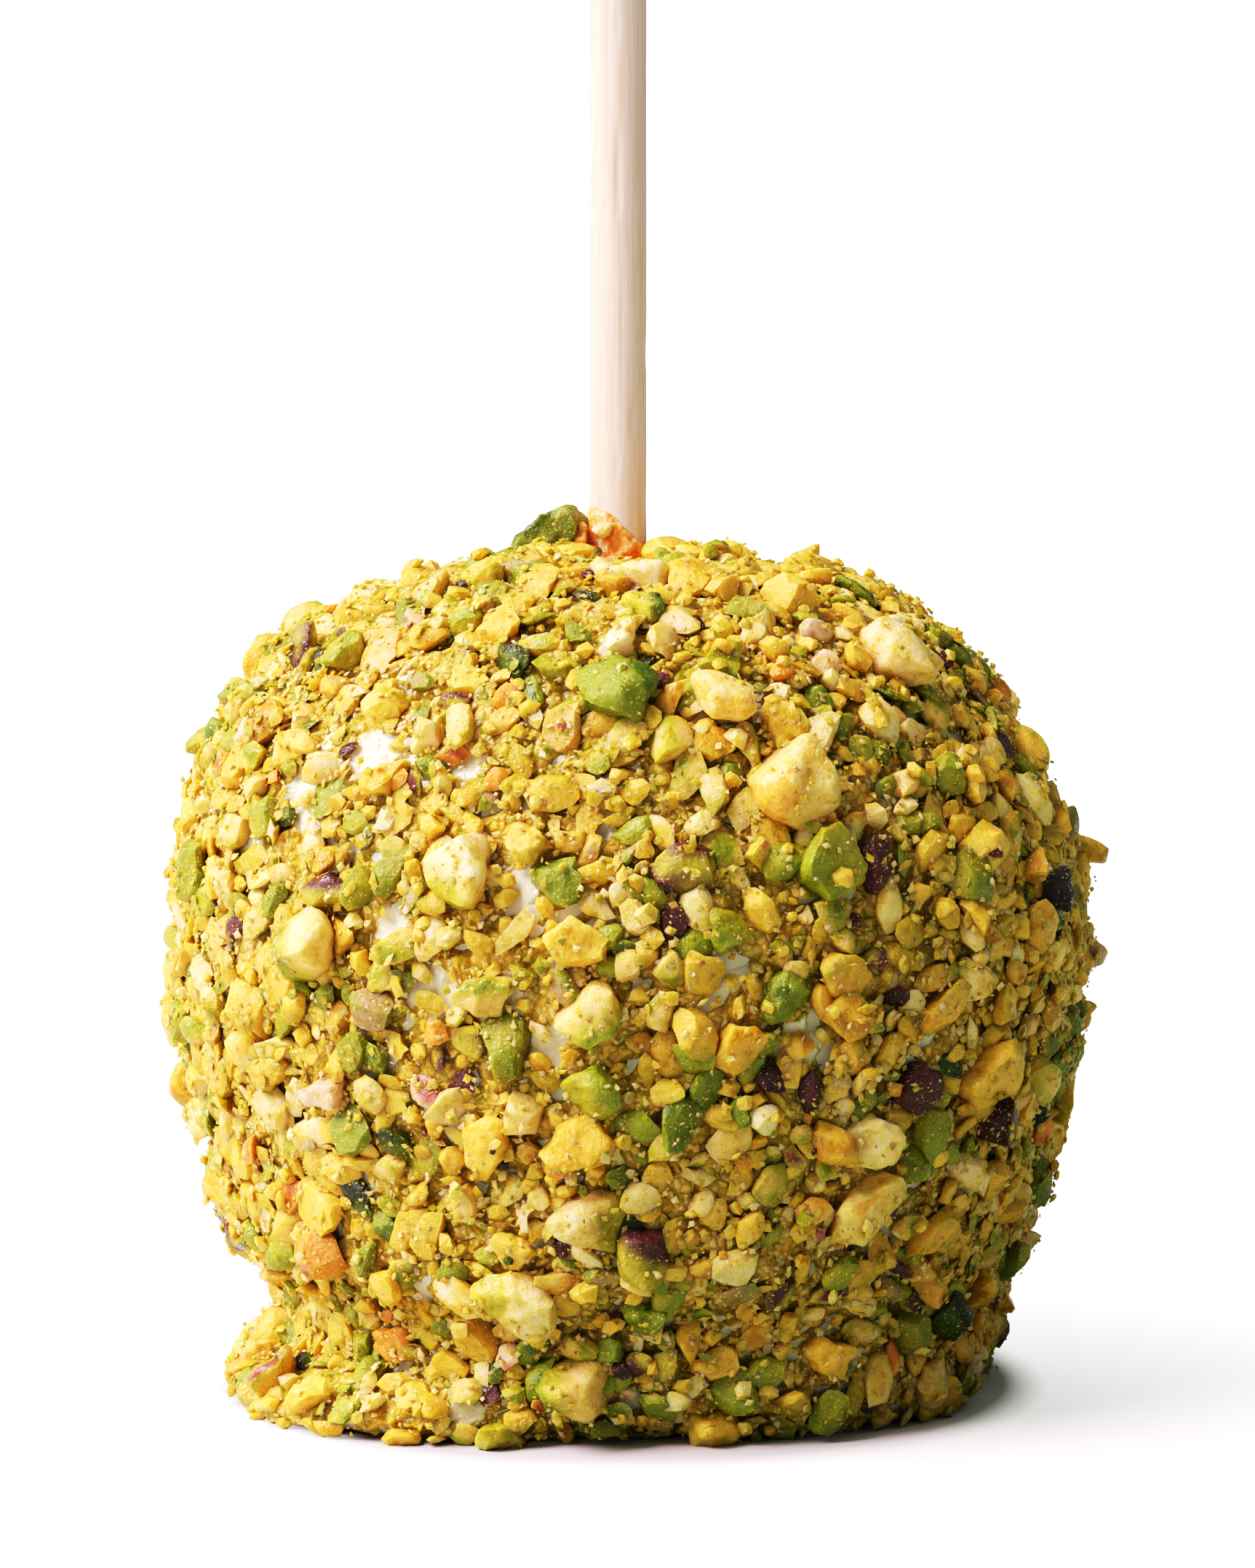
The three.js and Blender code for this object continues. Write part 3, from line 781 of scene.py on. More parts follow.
# The pieces that stand out on the front: azimuth, height on the coat, length,
# width, the turn of the length from level, the kind, and the side with skin.
MARKED_PIECES = [
    (4, 79.6, 6.8, 3.6, -12, "ivory"), (3, 76.4, 5, 3.6, -60, "rind", 0),
    (-24, 79.8, 4.8, 4, 10, "bark", -50), (-24, 77.4, 4.2, 4, 40, "green", 180),
    (-20, 74.2, 5.5, 3.4, 15, "golden"), (-2, 72.6, 4.2, 3.8, 60, "ivory"),
    (-2, 69, 7.8, 6.4, -50, "leaf", 10), (12, 68, 6.6, 4.2, -50, "toast"), (44, 72, 7.6, 6.8, 20, "cream"),
    (72, 73.5, 5, 3.6, -30, "yellow"), (20, 60.5, 8.8, 7.4, -60, "toast"),
    (23, 53, 6.8, 5.6, 10, "green", 215), (30, 54, 6.2, 3.2, 75, "maroon"),
    (62, 50.5, 4.4, 3.6, 90, "slate"), (-19, 53, 7.6, 5.6, 70, "half", -110),
    (-11, 55.5, 5.2, 3.6, 0, "yellow"), (-37, 51, 5.6, 3.2, -10, "plum", 90),
    (-38, 46.5, 6.4, 5.4, 30, "lime", 200), (-66, 52.5, 6.8, 3.4, 85, "green"),
    (11, 48, 4.4, 3.4, 0, "green", 230), (-5, 47, 5.6, 3.8, 20, "yellow"), (25, 44, 5, 4.4, 60, "rose"),
    (18, 42, 5, 4.2, 45, "leaf"), (-4, 41, 6.4, 5, 50, "lime", -60), (-16, 42.5, 5.8, 3.2, 25, "lime"),
    (-38, 33, 4.4, 3.6, 30, "petal"), (-4, 34.5, 6.2, 4, 20, "green", 30),
    (-5, 29.5, 5.8, 4.2, 35, "golden"), (12, 38, 5, 4.2, -30, "golden"), (30, 29.5, 6.6, 4.8, 20, "cream"),
    (36, 33.5, 4.4, 4, 50, "maroon"), (48, 34, 6.8, 5.8, 0, "yellow"), (-17, 29, 5.8, 3.6, 65, "golden"),
    (-5, 22.5, 9.6, 4.6, -8, "half", -15), (-14, 15.5, 7.2, 6.2, 20, "half", 160),
    (-14, 19.5, 5, 3.8, -20, "yellow"), (2, 19.5, 6.4, 4.2, 55, "plum", 60), (2, 14, 6, 4.4, 20, "leaf"),
    (31, 22.5, 10.4, 5.2, 25, "toast"), (30, 8.5, 5, 4.6, 30, "yellow"),
    (-8, 5.5, 6.8, 6.4, 0, "lime", 185), (-38, 9, 4.6, 3.2, -20, "orange"), (-57, 3, 6.2, 5.2, 20, "rose"),
    (50, 4, 4.8, 4.4, 40, "cream"), (14, 2.5, 5.6, 3.6, 0, "yellow"), (82, 55, 7.6, 4.2, -40, "bark"),
    (-75, 20, 5.6, 4.4, -30, "golden"), (-47, 72, 5.4, 3.8, 20, "green"), (-84, 37, 5.8, 4, 80, "yellow"),
    (-86, 30.5, 6, 4.2, 60, "golden"), (86, 51, 5.6, 4, 70, "yellow"), (87, 44, 6, 4.4, 90, "golden"),
    (-83, 65, 5, 3.6, 60, "green"),
]

# Smaller pieces that catch the eye, in the same order.
NOTED_PIECES = [
    (-36.8, 79, 3.4, 1.2, -30, "slate"), (-52, 74.6, 4.2, 1.6, 20, "plum"),
    (-22.8, 67.7, 3.6, 1.8, -20, "plum"), (-29.2, 69.6, 5, 1.6, -15, "bark"),
    (-18.2, 63.7, 2.4, 1.6, 30, "rose"), (-15.8, 61, 2.8, 1.8, 50, "orange"),
    (-16, 71.3, 5.4, 2.8, -50, "bottle"), (-8.2, 73.9, 4, 1.8, -50, "leaf"),
    (4.5, 69.6, 2.2, 1.2, 40, "maroon"), (11, 75, 1.8, 1.6, 0, "maroon"),
    (22.8, 67.7, 2.2, 1.2, 20, "rose"), (22.2, 70.3, 2.8, 1.8, 0, "orange"),
    (36.5, 60.9, 3.8, 2.8, 60, "amber"), (29, 66, 4.6, 2.2, 40, "leaf"), (13.2, 71, 4.8, 3.6, 30, "green"),
    (60, 72.4, 2.8, 1.8, 0, "maroon"), (62.8, 63.9, 3.6, 2.4, -40, "maroon"),
    (6.5, 53.5, 6, 3.6, -15, "plum"), (5, 48.5, 3.6, 2.2, 60, "maroon"),
    (-53, 47.4, 3.2, 2.6, 20, "maroon"), (-80, 53, 2.6, 2.2, 0, "plum"),
    (-60.8, 65.5, 4.4, 1.4, 80, "petal"), (-54.2, 62.8, 4.2, 3, 40, "lime"),
    (-55.5, 56.5, 4.8, 3.4, 30, "lime"), (-30.2, 61.1, 5, 3, 50, "golden"),
    (-59.8, 40.4, 3.8, 2.6, 60, "lime"), (-29.5, 41, 4.6, 3.6, 60, "bark"),
    (-21.8, 38.9, 2.6, 2.4, 0, "orange"), (-17.8, 38.4, 3.2, 2.8, 60, "plum"),
    (15.8, 31.6, 3.4, 3, 0, "ivory"), (21, 33.4, 4.2, 1.6, 80, "maroon"), (4.5, 34, 3.6, 2.2, 20, "rose"),
    (-15, 27.5, 1.6, 1.5, 0, "slate"), (-20.5, 23.6, 4.6, 2.8, 75, "amber"),
    (-22, 19.1, 2.8, 1.4, 40, "rose"), (-36.5, 17.3, 4.2, 2.4, 70, "leaf"), (-38, 12, 3, 1.4, 10, "orange"),
    (-56.5, 26.3, 3.6, 2.8, 60, "orange"), (-1.5, 12.7, 4.2, 1.6, 70, "maroon"),
    (27.2, 15.2, 4.6, 1.6, 15, "plum"), (5.5, 8.2, 3.4, 2.4, 70, "plum"), (-17.5, 9.1, 2.6, 2, 20, "petal"),
    (38.2, 20.5, 4.4, 2.6, 20, "lime"), (-14.8, 42.7, 4.6, 2.4, 40, "lime"),
    (3.5, 41, 4.6, 2.4, 65, "lime"), (-11.8, 48, 6.2, 1.8, 45, "toast"), (0, 44.9, 3, 2.2, -20, "toast"),
    (15, 21.3, 4.2, 1.8, 80, "yellow"), (-29.8, 26.9, 3.2, 2.2, 20, "lime"),
    (21.8, 72.5, 3.6, 2.8, 0, "yellow"), (36.8, 72, 3.4, 2.6, 20, "golden"), (-32, 73.7, 4, 3, 0, "golden"),
    (51, 75, 2.2, 2, 0, "ivory"), (-31.8, 51.5, 5.6, 2.6, 60, "green"), (-45.2, 50.1, 4.4, 2, 50, "leaf"),
    (28.2, 17, 4.2, 2.4, 30, "green"), (-12.8, 6.5, 4.2, 2.4, 80, "leaf"), (-24.5, 4.6, 4, 2.4, 60, "lime"),
    (-16.5, 3.2, 3.4, 2, 0, "rose"), (8, 57, 3, 1.6, 10, "cream"), (50, 41, 3.8, 2.4, 60, "olive"),
    (44, 27, 4, 2, -20, "green"), (56, 60, 4, 2.6, 70, "mustard"),
]

SCATTERED_PIECES = 157
SCATTER_STEP = 61  # from one scattered piece's share of the coat to the next one's
GOLDEN_ANGLE = 180 * (3 - math.sqrt(5))
LONGEST_SCATTERED = 9.0
SHORTEST_SCATTERED = 5.6
TOP_CLEARANCE = 9.5  # no scattered piece's middle comes nearer the stick
FRONT_SECTOR = 88  # up to this azimuth the marked pieces are the only large ones
CARAMEL_FROM = 84.4  # the caramel is to be seen from the front above this height
CARAMEL_HALF_WIDTH = 4.6  # and this far to each side of the stick

# How common each kind is among the scattered pieces.
KIND_SHARES = dict(
    golden=16, yellow=21, olive=7, mustard=2, cream=17, lime=12, green=14, amber=2.5, orange=0.8, bark=1.5,
    petal=1, rose=1.5, leaf=7, plum=1.7, bottle=1, maroon=1)
BIT_SHARES = dict(
    golden=22, yellow=33, olive=12, mustard=2, cream=13, lime=10, green=3.5, orange=0.6, bark=1, rose=1,
    plum=0.8, bottle=0.5, maroon=0.8)
LARGE_SHARES = dict(
    golden=18, yellow=24, olive=14, mustard=3, cream=12, half=6, lime=16, green=4)
CRUMB_SHARES = dict(
    meal=34, yellow=30, cream=8, golden=12, lime=8, mustard=2, orange=1, rose=1)


def kinds_for(seed, shares=KIND_SHARES):
    """A kind for each piece, as common as its share says."""
    limits = np.cumsum(list(shares.values()))
    numbers = np.array([KIND_NAMES.index(name) for name in shares])
    picked = np.searchsorted(limits, draw(seed, 50) * limits[-1])
    return numbers[np.minimum(picked, len(numbers) - 1)]


def columns(pieces, kind_at):
    """The columns of a list of pieces, as arrays: the kind as a number, and no side
    with skin where none is given."""
    rows = [(*row[:kind_at], KIND_NAMES.index(row[kind_at]), *(row[kind_at + 1:] or [np.nan]))
            for row in pieces]
    return [np.array(column, float) for column in zip(*rows)]


def placed_nuts(pieces, first_seed):
    """The pieces of one of the two lists above."""
    azimuth, height, length, width, turn, kind, side = columns(pieces, 5)
    along = np.array([along_at_height(level) for level in height])
    seed = first_seed + np.arange(len(pieces))
    return nuts_on_coat(seed, azimuth, along, length, width, turn, kind, side)


# Pieces that don't lie flat on the coat, and face the front: the seed, the middle,
# half the length, width and thickness, the turn, the kind, and the side with skin.
FREE_PIECES = [
    # the broken half kernel that leans on the stick, and what it rests on
    (4872, (-6.9, -2.2, 86.3), (4.4, 2.3, 2.6), 39, "leaf", 129),
    (901, (-8.6, -0.6, 83.6), (3.6, 2.6, 3.0), 8, "golden"),
    # in the caramel and under it
    (902, (-1.6, -3.2, 86.9), (1.2, 0.8, 0.7), -20, "ivory"),
    (903, (-3.9, -2.6, 85.9), (1.3, 2.3, 1.2), 0, "orange"),
    (904, (-3.2, -4.2, 83.9), (1.6, 1.1, 1.2), 20, "plum"),
    # lumps to the right of the stick
    (905, (5.0, -3.0, 84.3), (2.7, 2.0, 2.2), 10, "yellow"),
    (906, (8.6, -2.2, 83.7), (2.6, 1.8, 2.2), -15, "golden"),
    (907, (18.6, -1.5, 83.1), (3.2, 2.5, 2.6), 20, "yellow"),
    # jutting out at the right edge
    (908, (47.4, -2.0, 54.3), (3.2, 1.7, 2.0), -30, "olive"),
    (909, (48.2, -2.0, 43.6), (2.6, 1.5, 1.8), 15, "petal"),
    (910, (46.6, -3.0, 37.6), (2.4, 1.8, 2.0), 70, "golden"),
]


def free_nuts():
    seed, middle, halves, turn, kind, side = columns(FREE_PIECES, 4)
    out, level, up = (np.repeat([way], len(seed), 0) for way in ((0, -1, 0), (1, 0, 0), (0, 0, 1)))
    return Nuts(seed, middle, out, level, up, turn, halves, kind, side)


def scattered_nuts(placed):
    """Large pieces spread evenly, each left out where it would lie on another."""
    index = np.arange(SCATTERED_PIECES)
    seed = 100 + index
    share = ((index * SCATTER_STEP) % SCATTERED_PIECES + draw(seed, 3)) / SCATTERED_PIECES
    azimuth = (index * GOLDEN_ANGLE + 25 * draw(seed, 4)) % 360 - 180
    shrink = (index / SCATTERED_PIECES) ** 0.6
    length = LONGEST_SCATTERED - (LONGEST_SCATTERED - SHORTEST_SCATTERED) * shrink
    width = length * (0.5 + 0.35 * draw(seed, 5))
    nuts = nuts_on_coat(seed, azimuth, along_at_share(share), length, width, 180 * draw(seed, 6),
                        kinds_for(seed, LARGE_SHARES))
    x, y, z = nuts.middle.T
    before_caramel = (np.abs(x) < 8) & (y < 0) & (z > 79)
    at_front = (np.abs(azimuth) < FRONT_SECTOR) | before_caramel
    kept = []
    for number in np.nonzero(~at_front & (np.hypot(x, y) > TOP_CLEARANCE))[0]:
        others = join(placed, nuts.pick(kept))
        apart = np.linalg.norm(others.middle - nuts.middle[number], axis=-1)
        if (apart > 0.85 * (others.halves[:, 0] + nuts.halves[number, 0])).all():
            kept.append(number)
    return nuts.pick(kept)


def tilted(nuts, most):
    """The same pieces, each rocked by up to `most` degrees out of the surface."""
    lean = np.radians(most) * (2 * draw(nuts.seed, 60) - 1)[:, None]
    way = 2 * np.pi * draw(nuts.seed, 61)[:, None]
    side = nuts.level * np.cos(way) + nuts.up * np.sin(way)
    out = unit(nuts.out * np.cos(lean) + side * np.sin(lean))
    level = unit(nuts.level - out * (nuts.level * out).sum(-1, keepdims=True))
    nuts.out, nuts.level, nuts.up = out, level, np.cross(out, level)
    return nuts


def loose_nuts(first_seed, count, shortest, longest, slimmest, proud, clearance,
               shares=KIND_SHARES, stoutest=0.9, rarity=1.9):
    """Candidate pieces of a smaller size, spread evenly over the coat."""
    seed = first_seed + np.arange(count, dtype=float)
    index = seed - first_seed
    share = (index + draw(seed, 3)) / count
    azimuth = (index * GOLDEN_ANGLE + 40 * (draw(seed, 4) - 0.5)) % 360 - 180
    along = along_at_share(share)
    length = shortest + (longest - shortest) * draw(seed, 5) ** rarity
    width = length * (slimmest + (stoutest - slimmest) * draw(seed, 7) ** 1.3)
    thickness = width * (0.28 + 0.5 * draw(seed, 1) ** 1.3)
    lift = NUT_BED * 0.75 + thickness * (proud + 0.25 * draw(seed, 2))
    nuts = laid(seed, azimuth, along, (length, width, thickness), lift, 180 * draw(seed, 6),
                kinds_for(seed, shares))
    x, y, z = nuts.middle.T
    clear = np.hypot(x, y) > np.where(z > 70, clearance, 0)
    return tilted(nuts.pick(clear), 40)


def clear_of(nuts, others, share):
    """Those pieces whose middle is further from each other one than a share of
    the two half lengths."""
    keep = np.ones(len(nuts.seed), bool)
    for middle, half in zip(others.middle, others.halves[:, 0]):
        apart = np.linalg.norm(nuts.middle - middle, axis=-1)
        keep &= apart > share * (half + nuts.halves[:, 0])
    return nuts.pick(keep)


def spaced(nuts, share):
    """Those pieces that, in turn, lie clear of every one kept before them."""
    kept = []
    for index in np.argsort(-nuts.halves[:, 0]):
        others = np.array(kept, int)
        apart = np.linalg.norm(nuts.middle[others] - nuts.middle[index], axis=-1)
        if (apart > share * (nuts.halves[others, 0] + nuts.halves[index, 0])).all():
            kept.append(index)
    return nuts.pick(np.array(kept))


def thinned(nuts, most):
    """The pieces with most of those in bare spots left out."""
    return nuts.pick(bareness(nuts.middle) * most < draw(nuts.seed, 62))


def below_caramel(nuts):
    """The pieces without those that would stand before the caramel, seen from the
    front a little below the top."""
    x, y, z = nuts.middle.T
    sight = CAMERA_HEIGHT + (CARAMEL_FROM - CAMERA_HEIGHT) * (1 + y / CAMERA_AWAY)
    before = (np.abs(x) < CARAMEL_HALF_WIDTH) & (y < 0) & (y > -30)
    top = z + 0.2 * nuts.halves[:, 0] + 0.9 * nuts.halves[:, 2]
    return nuts.pick(~before | (top < sight))


def settled(nuts, others, planes, kept_share, lift):
    """The pieces, moved out where they would be inside larger ones so that they
    lie on top of them; only a share of those that are moved is kept."""
    keep = np.ones(len(nuts.seed), bool)
    axes, scales = others.axes(), kernel_scale(others)
    for index in range(len(others.seed)):
        apart = nuts.middle - others.middle[index]
        halves = others.halves[index] * scales[index] * FULLNESS
        close = np.nonzero((np.abs(apart) < halves[0]).all(-1))[0]
        place = apart[close] @ axes[index].T
        normal, distance = planes[0][index], planes[1][index] * FULLNESS
        room = distance - place[:, :2] @ normal[:, :2].T
        climbs = normal[:, 2] > 0.05
        bound = 1 - ((place[:, :2] / halves[:2]) ** 2).sum(-1)
        top = halves[2] * np.sqrt(np.maximum(bound, 0))
        top = np.minimum(top, (room[:, climbs] / normal[climbs, 2]).min(-1))
        beside = room[:, ~climbs] - normal[~climbs, 2] * place[:, 2:3]
        within = (bound > 0) & (beside > 0).all(-1) & (place[:, 2] < top)
        moved = close[within]
        rise = top[within] - place[within, 2] + lift * nuts.halves[moved, 2]
        nuts.middle[moved] += rise[:, None] * others.out[index]
        keep[moved] &= draw(nuts.seed[moved], 63) < kept_share
    return nuts.pick(keep)


# ---- The parts of the dressed apple ----

def add_coat(material):
    vertices, faces = coat_skin(100, 150, lambda places: 0.25 * noise(places, 4.0, 1))
    coat = add_mesh("white_coat", vertices, faces, material)
    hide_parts("coated_apple")


def bed_lift(places):
    """The nut meal's height over the coat: flakes on lumps, sunk in bare spots."""
    lumps = 0.3 * noise(places, 4.0, 2)
    rough = 0.75 * flakes(places, 2.3, 0.9, 11) + 0.3 * flakes(places, 1.2, 0.9, 31)
    patchy = 0.6 * smoothstep(noise(places, 5.0, 3) + 0.5 * noise(places, 2.2, 4), 0.55, 0.95)
    bare = bareness(places)
    rough = rough * (1 - 0.75 * bare)
    base = NUT_BED - 0.45 + lumps + rough - 0.5 * bare - patchy
    before_stick = (1 - smoothstep(np.abs(places[:, 0]), 3, 6)) * smoothstep(-places[:, 1], 0, 3)
    base = base - 0.35 * before_stick * smoothstep(places[:, 2], 80.5, 81.8)
    return base * smoothstep(places[:, 2], -0.5, 1.5)


def above_neighbours(points, faces, rounds):
    """How far each point lies further out than the surface round it."""
    links = np.vstack([faces[:, [0, 1]], faces[:, [1, 2]], faces[:, [2, 0]]])
    count = np.bincount(links.ravel(), minlength=len(points))[:, None]
    around = points
    for _ in range(rounds):
        total = np.zeros_like(points)
        np.add.at(total, links[:, 0], around[links[:, 1]])
        np.add.at(total, links[:, 1], around[links[:, 0]])
        around = total / count
    outward = unit(around - np.array([APPLE_OFFSET, 0, 45]))
    return ((points - around) * outward).sum(-1)


def add_bed(material):
    vertices, faces = coat_skin(190, 300, bed_lift)
    bed = add_mesh("nut_meal_bed", vertices, faces, material, sharp=28)
    # each point's height over the surface round it, for the meal's painted shade in grooves and painted light
    # on ridges
    store(bed, "relief_shading", smoothstep(above_neighbours(vertices, faces, 4), -0.35, 0.35))
    patchy = 0.35 * noise(vertices, 3.0, 12) + 0.25 * noise(vertices, 1.3, 13)
    store(bed, "thin", bareness(vertices) + patchy)
    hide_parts("coated_apple")


def add_all_nuts(material):
    """All the pieces of nut, from the largest to the crumbs: each size class lies
    clear of the larger ones, or on top of them."""
    spheres = [octahedron_mesh()]
    for _ in range(3):
        spheres.append(split_sphere(*spheres[-1]))
    marked = join(free_nuts(), placed_nuts(MARKED_PIECES, 1))
    scattered = scattered_nuts(marked)
    large_breaks = {}, dict(cuts=4, nearest=0.7, furthest=0.95)
    chips = dict(cuts=3, nearest=0.6, furthest=0.95)
    for name, nuts, sphere in (("nut_chunks", marked, sphere_mesh(4)), ("nut_halves", scattered, spheres[3])):
        faces = all_faces(nuts, *large_breaks)
        add_nuts(name, nuts, sphere, material, faces, rough=0.46, soft=0.4, sharp=36)
    large = join(marked, scattered)
    layers = [(large, all_faces(large, *large_breaks))]

    noted = placed_nuts(NOTED_PIECES, 1500)
    medium = loose_nuts(2000, 2700, shortest=2.7, longest=6.4, slimmest=0.42, rarity=1.5,
                        proud=0.05, clearance=8.5)
    medium = clear_of(thinned(clear_of(medium, large, 0.5), 0.9), noted, 0.6)
    medium = join(noted, below_caramel(spaced(medium, 0.47)))
    breaks = dict(cuts=4, nearest=0.5, furthest=0.95, tilt_most=0.6)
    layers.append((medium, all_faces(medium, breaks, chips)))
    add_nuts("nut_pieces", medium, spheres[2], material, layers[1][1], rough=0.28, soft=0.1, sharp=32)

    slim = loose_nuts(70000, 3600, shortest=3.0, longest=6.8, slimmest=0.24, stoutest=0.62,
                      rarity=1.5, proud=0.2, clearance=8.5)
    slim = clear_of(thinned(clear_of(slim, large, 0.5), 0.85), noted, 0.5)
    slim = below_caramel(spaced(clear_of(slim, medium, 0.36), 0.36))
    breaks = dict(cuts=4, nearest=0.6, furthest=0.95, tilt_most=0.5)
    layers.append((slim, all_faces(slim, breaks, chips)))
    add_nuts("nut_slivers", slim, spheres[2], material, layers[2][1], rough=0.18, soft=0.15, sharp=34)

    bits = loose_nuts(6000, 9900, shortest=1.2, longest=3.0, slimmest=0.25, proud=0.2,
                      clearance=6.5, shares=BIT_SHARES)
    bits = settled(below_caramel(bits), *layers[0], kept_share=0.1, lift=0.2)
    bits = thinned(bits, 0.85)
    for layer in layers[1:]:
        bits = settled(bits, *layer, kept_share=0.3, lift=0.2)
    breaks = dict(cuts=4, nearest=0.5, furthest=0.9, tilt_most=0.6)
    faces = all_faces(bits, breaks, chips)
    add_nuts("nut_bits", bits, spheres[1], material, faces, rough=0, by_face=True)

    crumbs = loose_nuts(20000, 34000, shortest=0.35, longest=1.15, slimmest=0.5, proud=0.9,
                        clearance=5.0, shares=CRUMB_SHARES)
    crumbs = below_caramel(crumbs)
    for layer in layers:
        crumbs = settled(crumbs, *layer, kept_share=0.6, lift=0.5)
    crumbs = crumbs.pick(noise(crumbs.middle, 7.0, 8) + 1.2 * draw(crumbs.seed, 64) > 0.05)
    crumbs = thinned(crumbs, 0.8)
    half = len(crumbs.seed) // 2
    for name, part in (("nut_crumbs_a", slice(0, half)), ("nut_crumbs_b", slice(half, None))):
        some = crumbs.pick(part)
        faces = chipped_corners(some, cuts=4, nearest=0.5, furthest=0.9)
        add_nuts(name, some, spheres[0], material, faces, rough=0, sharp=80)


def add_stick(material):
    """A turned stick, very slightly uneven, with small nicks."""
    sides, rings = 72, 120
    chamfer, chamfer_height = 0.6, 1.2
    uneven, nick_depth = 0.04, 0.09
    low, high = STICK_LOW[2], STICK_HIGH[2]
    height, turn = ring_grid(np.linspace(low, high, rings + 1), sides)
    to_end = np.minimum(height - low, high - height)
    surface = polar(STICK_RADIUS, turn, height * 0.05)
    radius = STICK_RADIUS - chamfer * (1 - smoothstep(to_end, 0, chamfer_height))
    radius = radius - uneven * (noise(surface, 0.5, 7) + 1) / 2
    radius = radius - nick_depth * smoothstep(noise(surface * [1, 1, 8], 1.5, 8), 0.6, 0.9)
    ends = [(0, 0, low), (0, 0, high)]
    points, faces = closed_tube(polar(radius, turn, height), 0, rings, sides, ends)
    stick = add_mesh("stick_turned", points, faces, material, sharp=50)
    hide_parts("stick")


def add_caramel(material):
    """Caramel round the foot of the stick, its top edge running down to the right."""
    sides, rings = 120, 60
    film, slant, waves, overlap = 0.6, 2.1, 0.3, 0.12
    spread = (COLLAR_HIGH[0] - COLLAR_LOW[0]) / 2 - STICK_RADIUS - 0.8
    base, top = COLLAR_LOW[2], COLLAR_HIGH[2] - 2.2
    part, turn = ring_grid(np.linspace(0, 1, rings + 1), sides)
    thick = film * (1 - part ** 8) + spread * (1 - part) ** 10
    height = base + (top - base) * part
    height = height - slant * np.cos(turn) * part + waves * np.sin(3 * turn + 1) * part
    way = polar(1, turn, height * 0.25)
    thick = thick * (1 + 0.5 * noise(way * 3, 0.9, 9) + 0.3 * noise(way * 3, 0.4, 10)) + 0.02
    points = polar(STICK_RADIUS - overlap + thick, turn, height)
    inner_low = points[:sides] * [0.6, 0.6, 1]
    inner_high = points[-sides:] * [0.9, 0.9, 1]
    points = np.vstack([inner_low, points, inner_high])
    caramel = add_mesh("caramel_dab", points, ring_quads(0, rings + 2, sides), material)
    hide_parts("caramel_collar")


# ---- Stage, light and camera ----

def add_floor():
    """A pale floor, dark only close to the apple and in its shadow on the right, and
    which lights the apple more from the left than from the right."""
    nodes = Nodes("pale_floor")
    seen = nodes.seen()
    shadow_middle, shadow_from, shadow_to = (26, -20), 14, 66
    contact_from, contact_to = 38.5, 43
    from_shadow = nodes.span(nodes.distance(*shadow_middle), shadow_from * MM, shadow_to * MM)
    from_foot = nodes.span(nodes.distance(APPLE_OFFSET, 0), contact_from * MM, contact_to * MM)
    shown = nodes.mix(from_shadow, (0.9, 0.85, 0.91), (0.25, 0.25, 0.25))
    lit = nodes.mix(nodes.span(nodes.across(), -48 * MM, -8 * MM), (0.8, 0.74, 0.7), (0.34, 0.41, 0.32))
    # painted light: seen by the camera, the floor glows except close to the foot, and more the further it is
    # from the shadow on the right, so that the cast shadow shows only there
    glow = nodes.math(nodes.span(from_shadow, 0, 1, 0.52, 1.5), from_foot)
    nodes.set(Base_Color=nodes.mix(seen, lit, shown), Roughness=0.9, Specular_IOR_Level=0.1,
              Emission_Color=(1, 1, 1, 1), Emission_Strength=nodes.math(seen, glow))
    mesh = bpy.data.meshes.new("floor")
    reach = 4000 * MM
    corners = [(-reach, -reach, 0), (reach, -reach, 0), (reach, reach, 0), (-reach, reach, 0)]
    mesh.from_pydata(corners, [], [(0, 1, 2, 3)])
    mesh.materials.append(nodes.owner)
    floor = add_object("floor", mesh)


def add_key_light():
    """A broad soft light from the front left."""
    azimuth, elevation, breadth = -66, 47, 40
    light = bpy.data.lights.new("key", "SUN")
    light.energy = 7.2
    light.angle = math.radians(breadth)
    light.color = (1, 0.795, 0.86)
    lamp = add_object("key", light)
    lamp.rotation_euler = (math.radians(90 - elevation), 0, math.radians(azimuth))


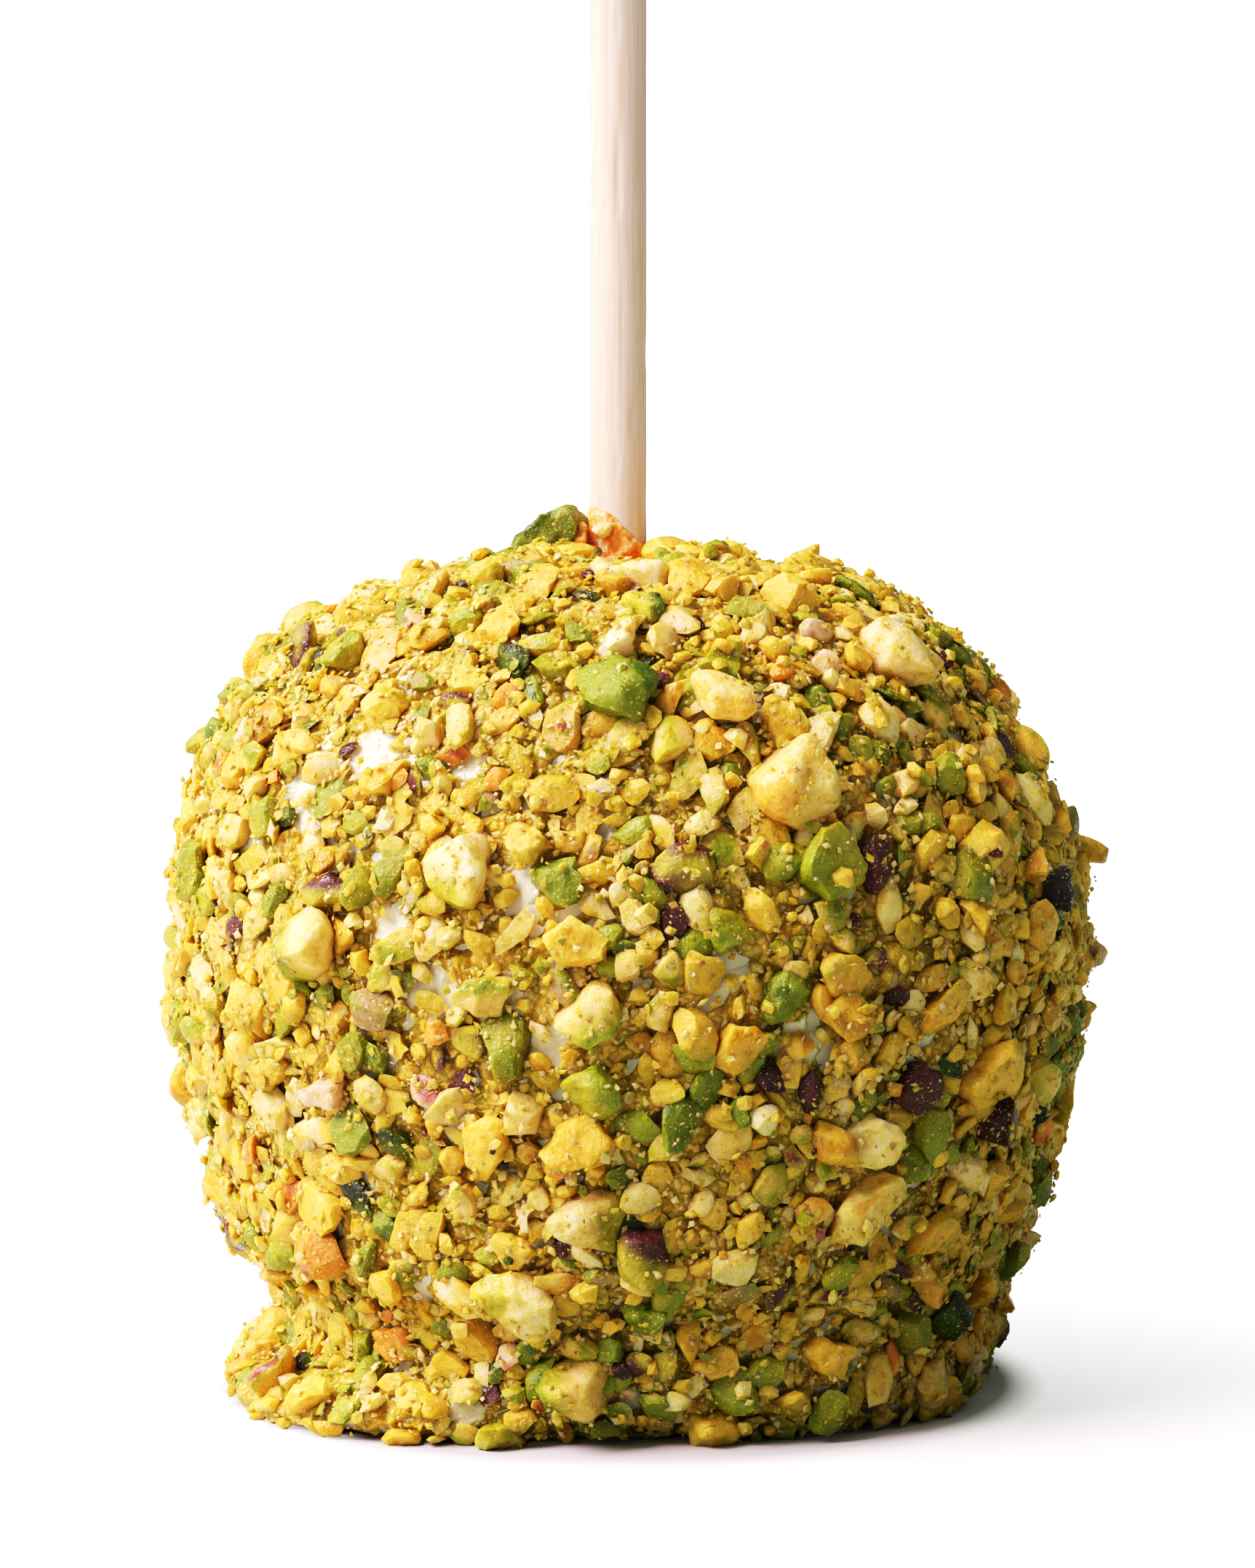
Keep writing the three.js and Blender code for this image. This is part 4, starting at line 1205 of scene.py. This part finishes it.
def add_world():
    """A surround that is bright on the left, overhead and behind the apple, and
    that the camera sees as white."""
    nodes = Nodes("studio", "worlds", "Background")
    way = nodes.add("SeparateXYZ", {"Vector": nodes.add("TexCoord").outputs["Generated"]}).outputs
    total = nodes.span(way["X"], -0.1, -1, 0, 1.45)
    for axis, start, end, strength in (("Z", 0.3, 1, 0.36), ("Y", 0.3, 0.9, 0.14), ("X", 0.6, 1, 0.42)):
        total = nodes.math(total, nodes.span(way[axis], start, end, 0, strength), "ADD")
    warm = nodes.add("VectorMath", {0: (0.89, 1.01, 0.89), "Scale": total}, operation="SCALE")
    nodes.set(Color=nodes.mix(nodes.seen(), warm.outputs["Vector"], (2, 2, 2)), Strength=1)
    bpy.context.scene.world = nodes.owner


def add_camera():
    """A level camera in front of the apple, as high as its upper third."""
    data = bpy.data.cameras.new("camera")
    data.sensor_fit = "VERTICAL"
    data.sensor_height = 24
    data.lens = 44.88
    data.clip_start = 10 * MM
    camera = add_object("camera", data)
    camera.location = (CAMERA_RIGHT * MM, -CAMERA_AWAY * MM, CAMERA_HEIGHT * MM)
    camera.rotation_euler = (math.radians(90), 0, 0)
    bpy.context.scene.camera = camera


# How bright each shade of light is shown, from black to white.
TONES = [
    (0.0, 0.0), (0.021, 0.008), (0.045, 0.0194), (0.08, 0.0452), (0.127, 0.091), (0.188, 0.162),
    (0.262, 0.262), (0.352, 0.386), (0.456, 0.503), (0.578, 0.61), (0.716, 0.704), (0.871, 0.777),
    (1.0, 0.833), (1.25, 0.907), (1.6, 1.0),
]


def set_tones():
    """Deep shades, and lights that grow gently to white."""
    settings = bpy.context.scene.view_settings
    settings.view_transform = "Standard"
    settings.use_curve_mapping = True
    mapping = settings.curve_mapping
    mapping.clip_max_x = TONES[-1][0]
    curve = mapping.curves[3]
    curve.points[0].location = TONES[0]
    curve.points[1].location = TONES[-1]
    for light, shown in TONES[1:-1]:
        curve.points.new(light, shown)
    mapping.update()


add_coat(coat_material())
add_bed(bed_material())
add_all_nuts(nut_material())
add_stick(wood_material())
add_caramel(caramel_material())
add_floor()
add_key_light()
add_world()
add_camera()
set_tones()
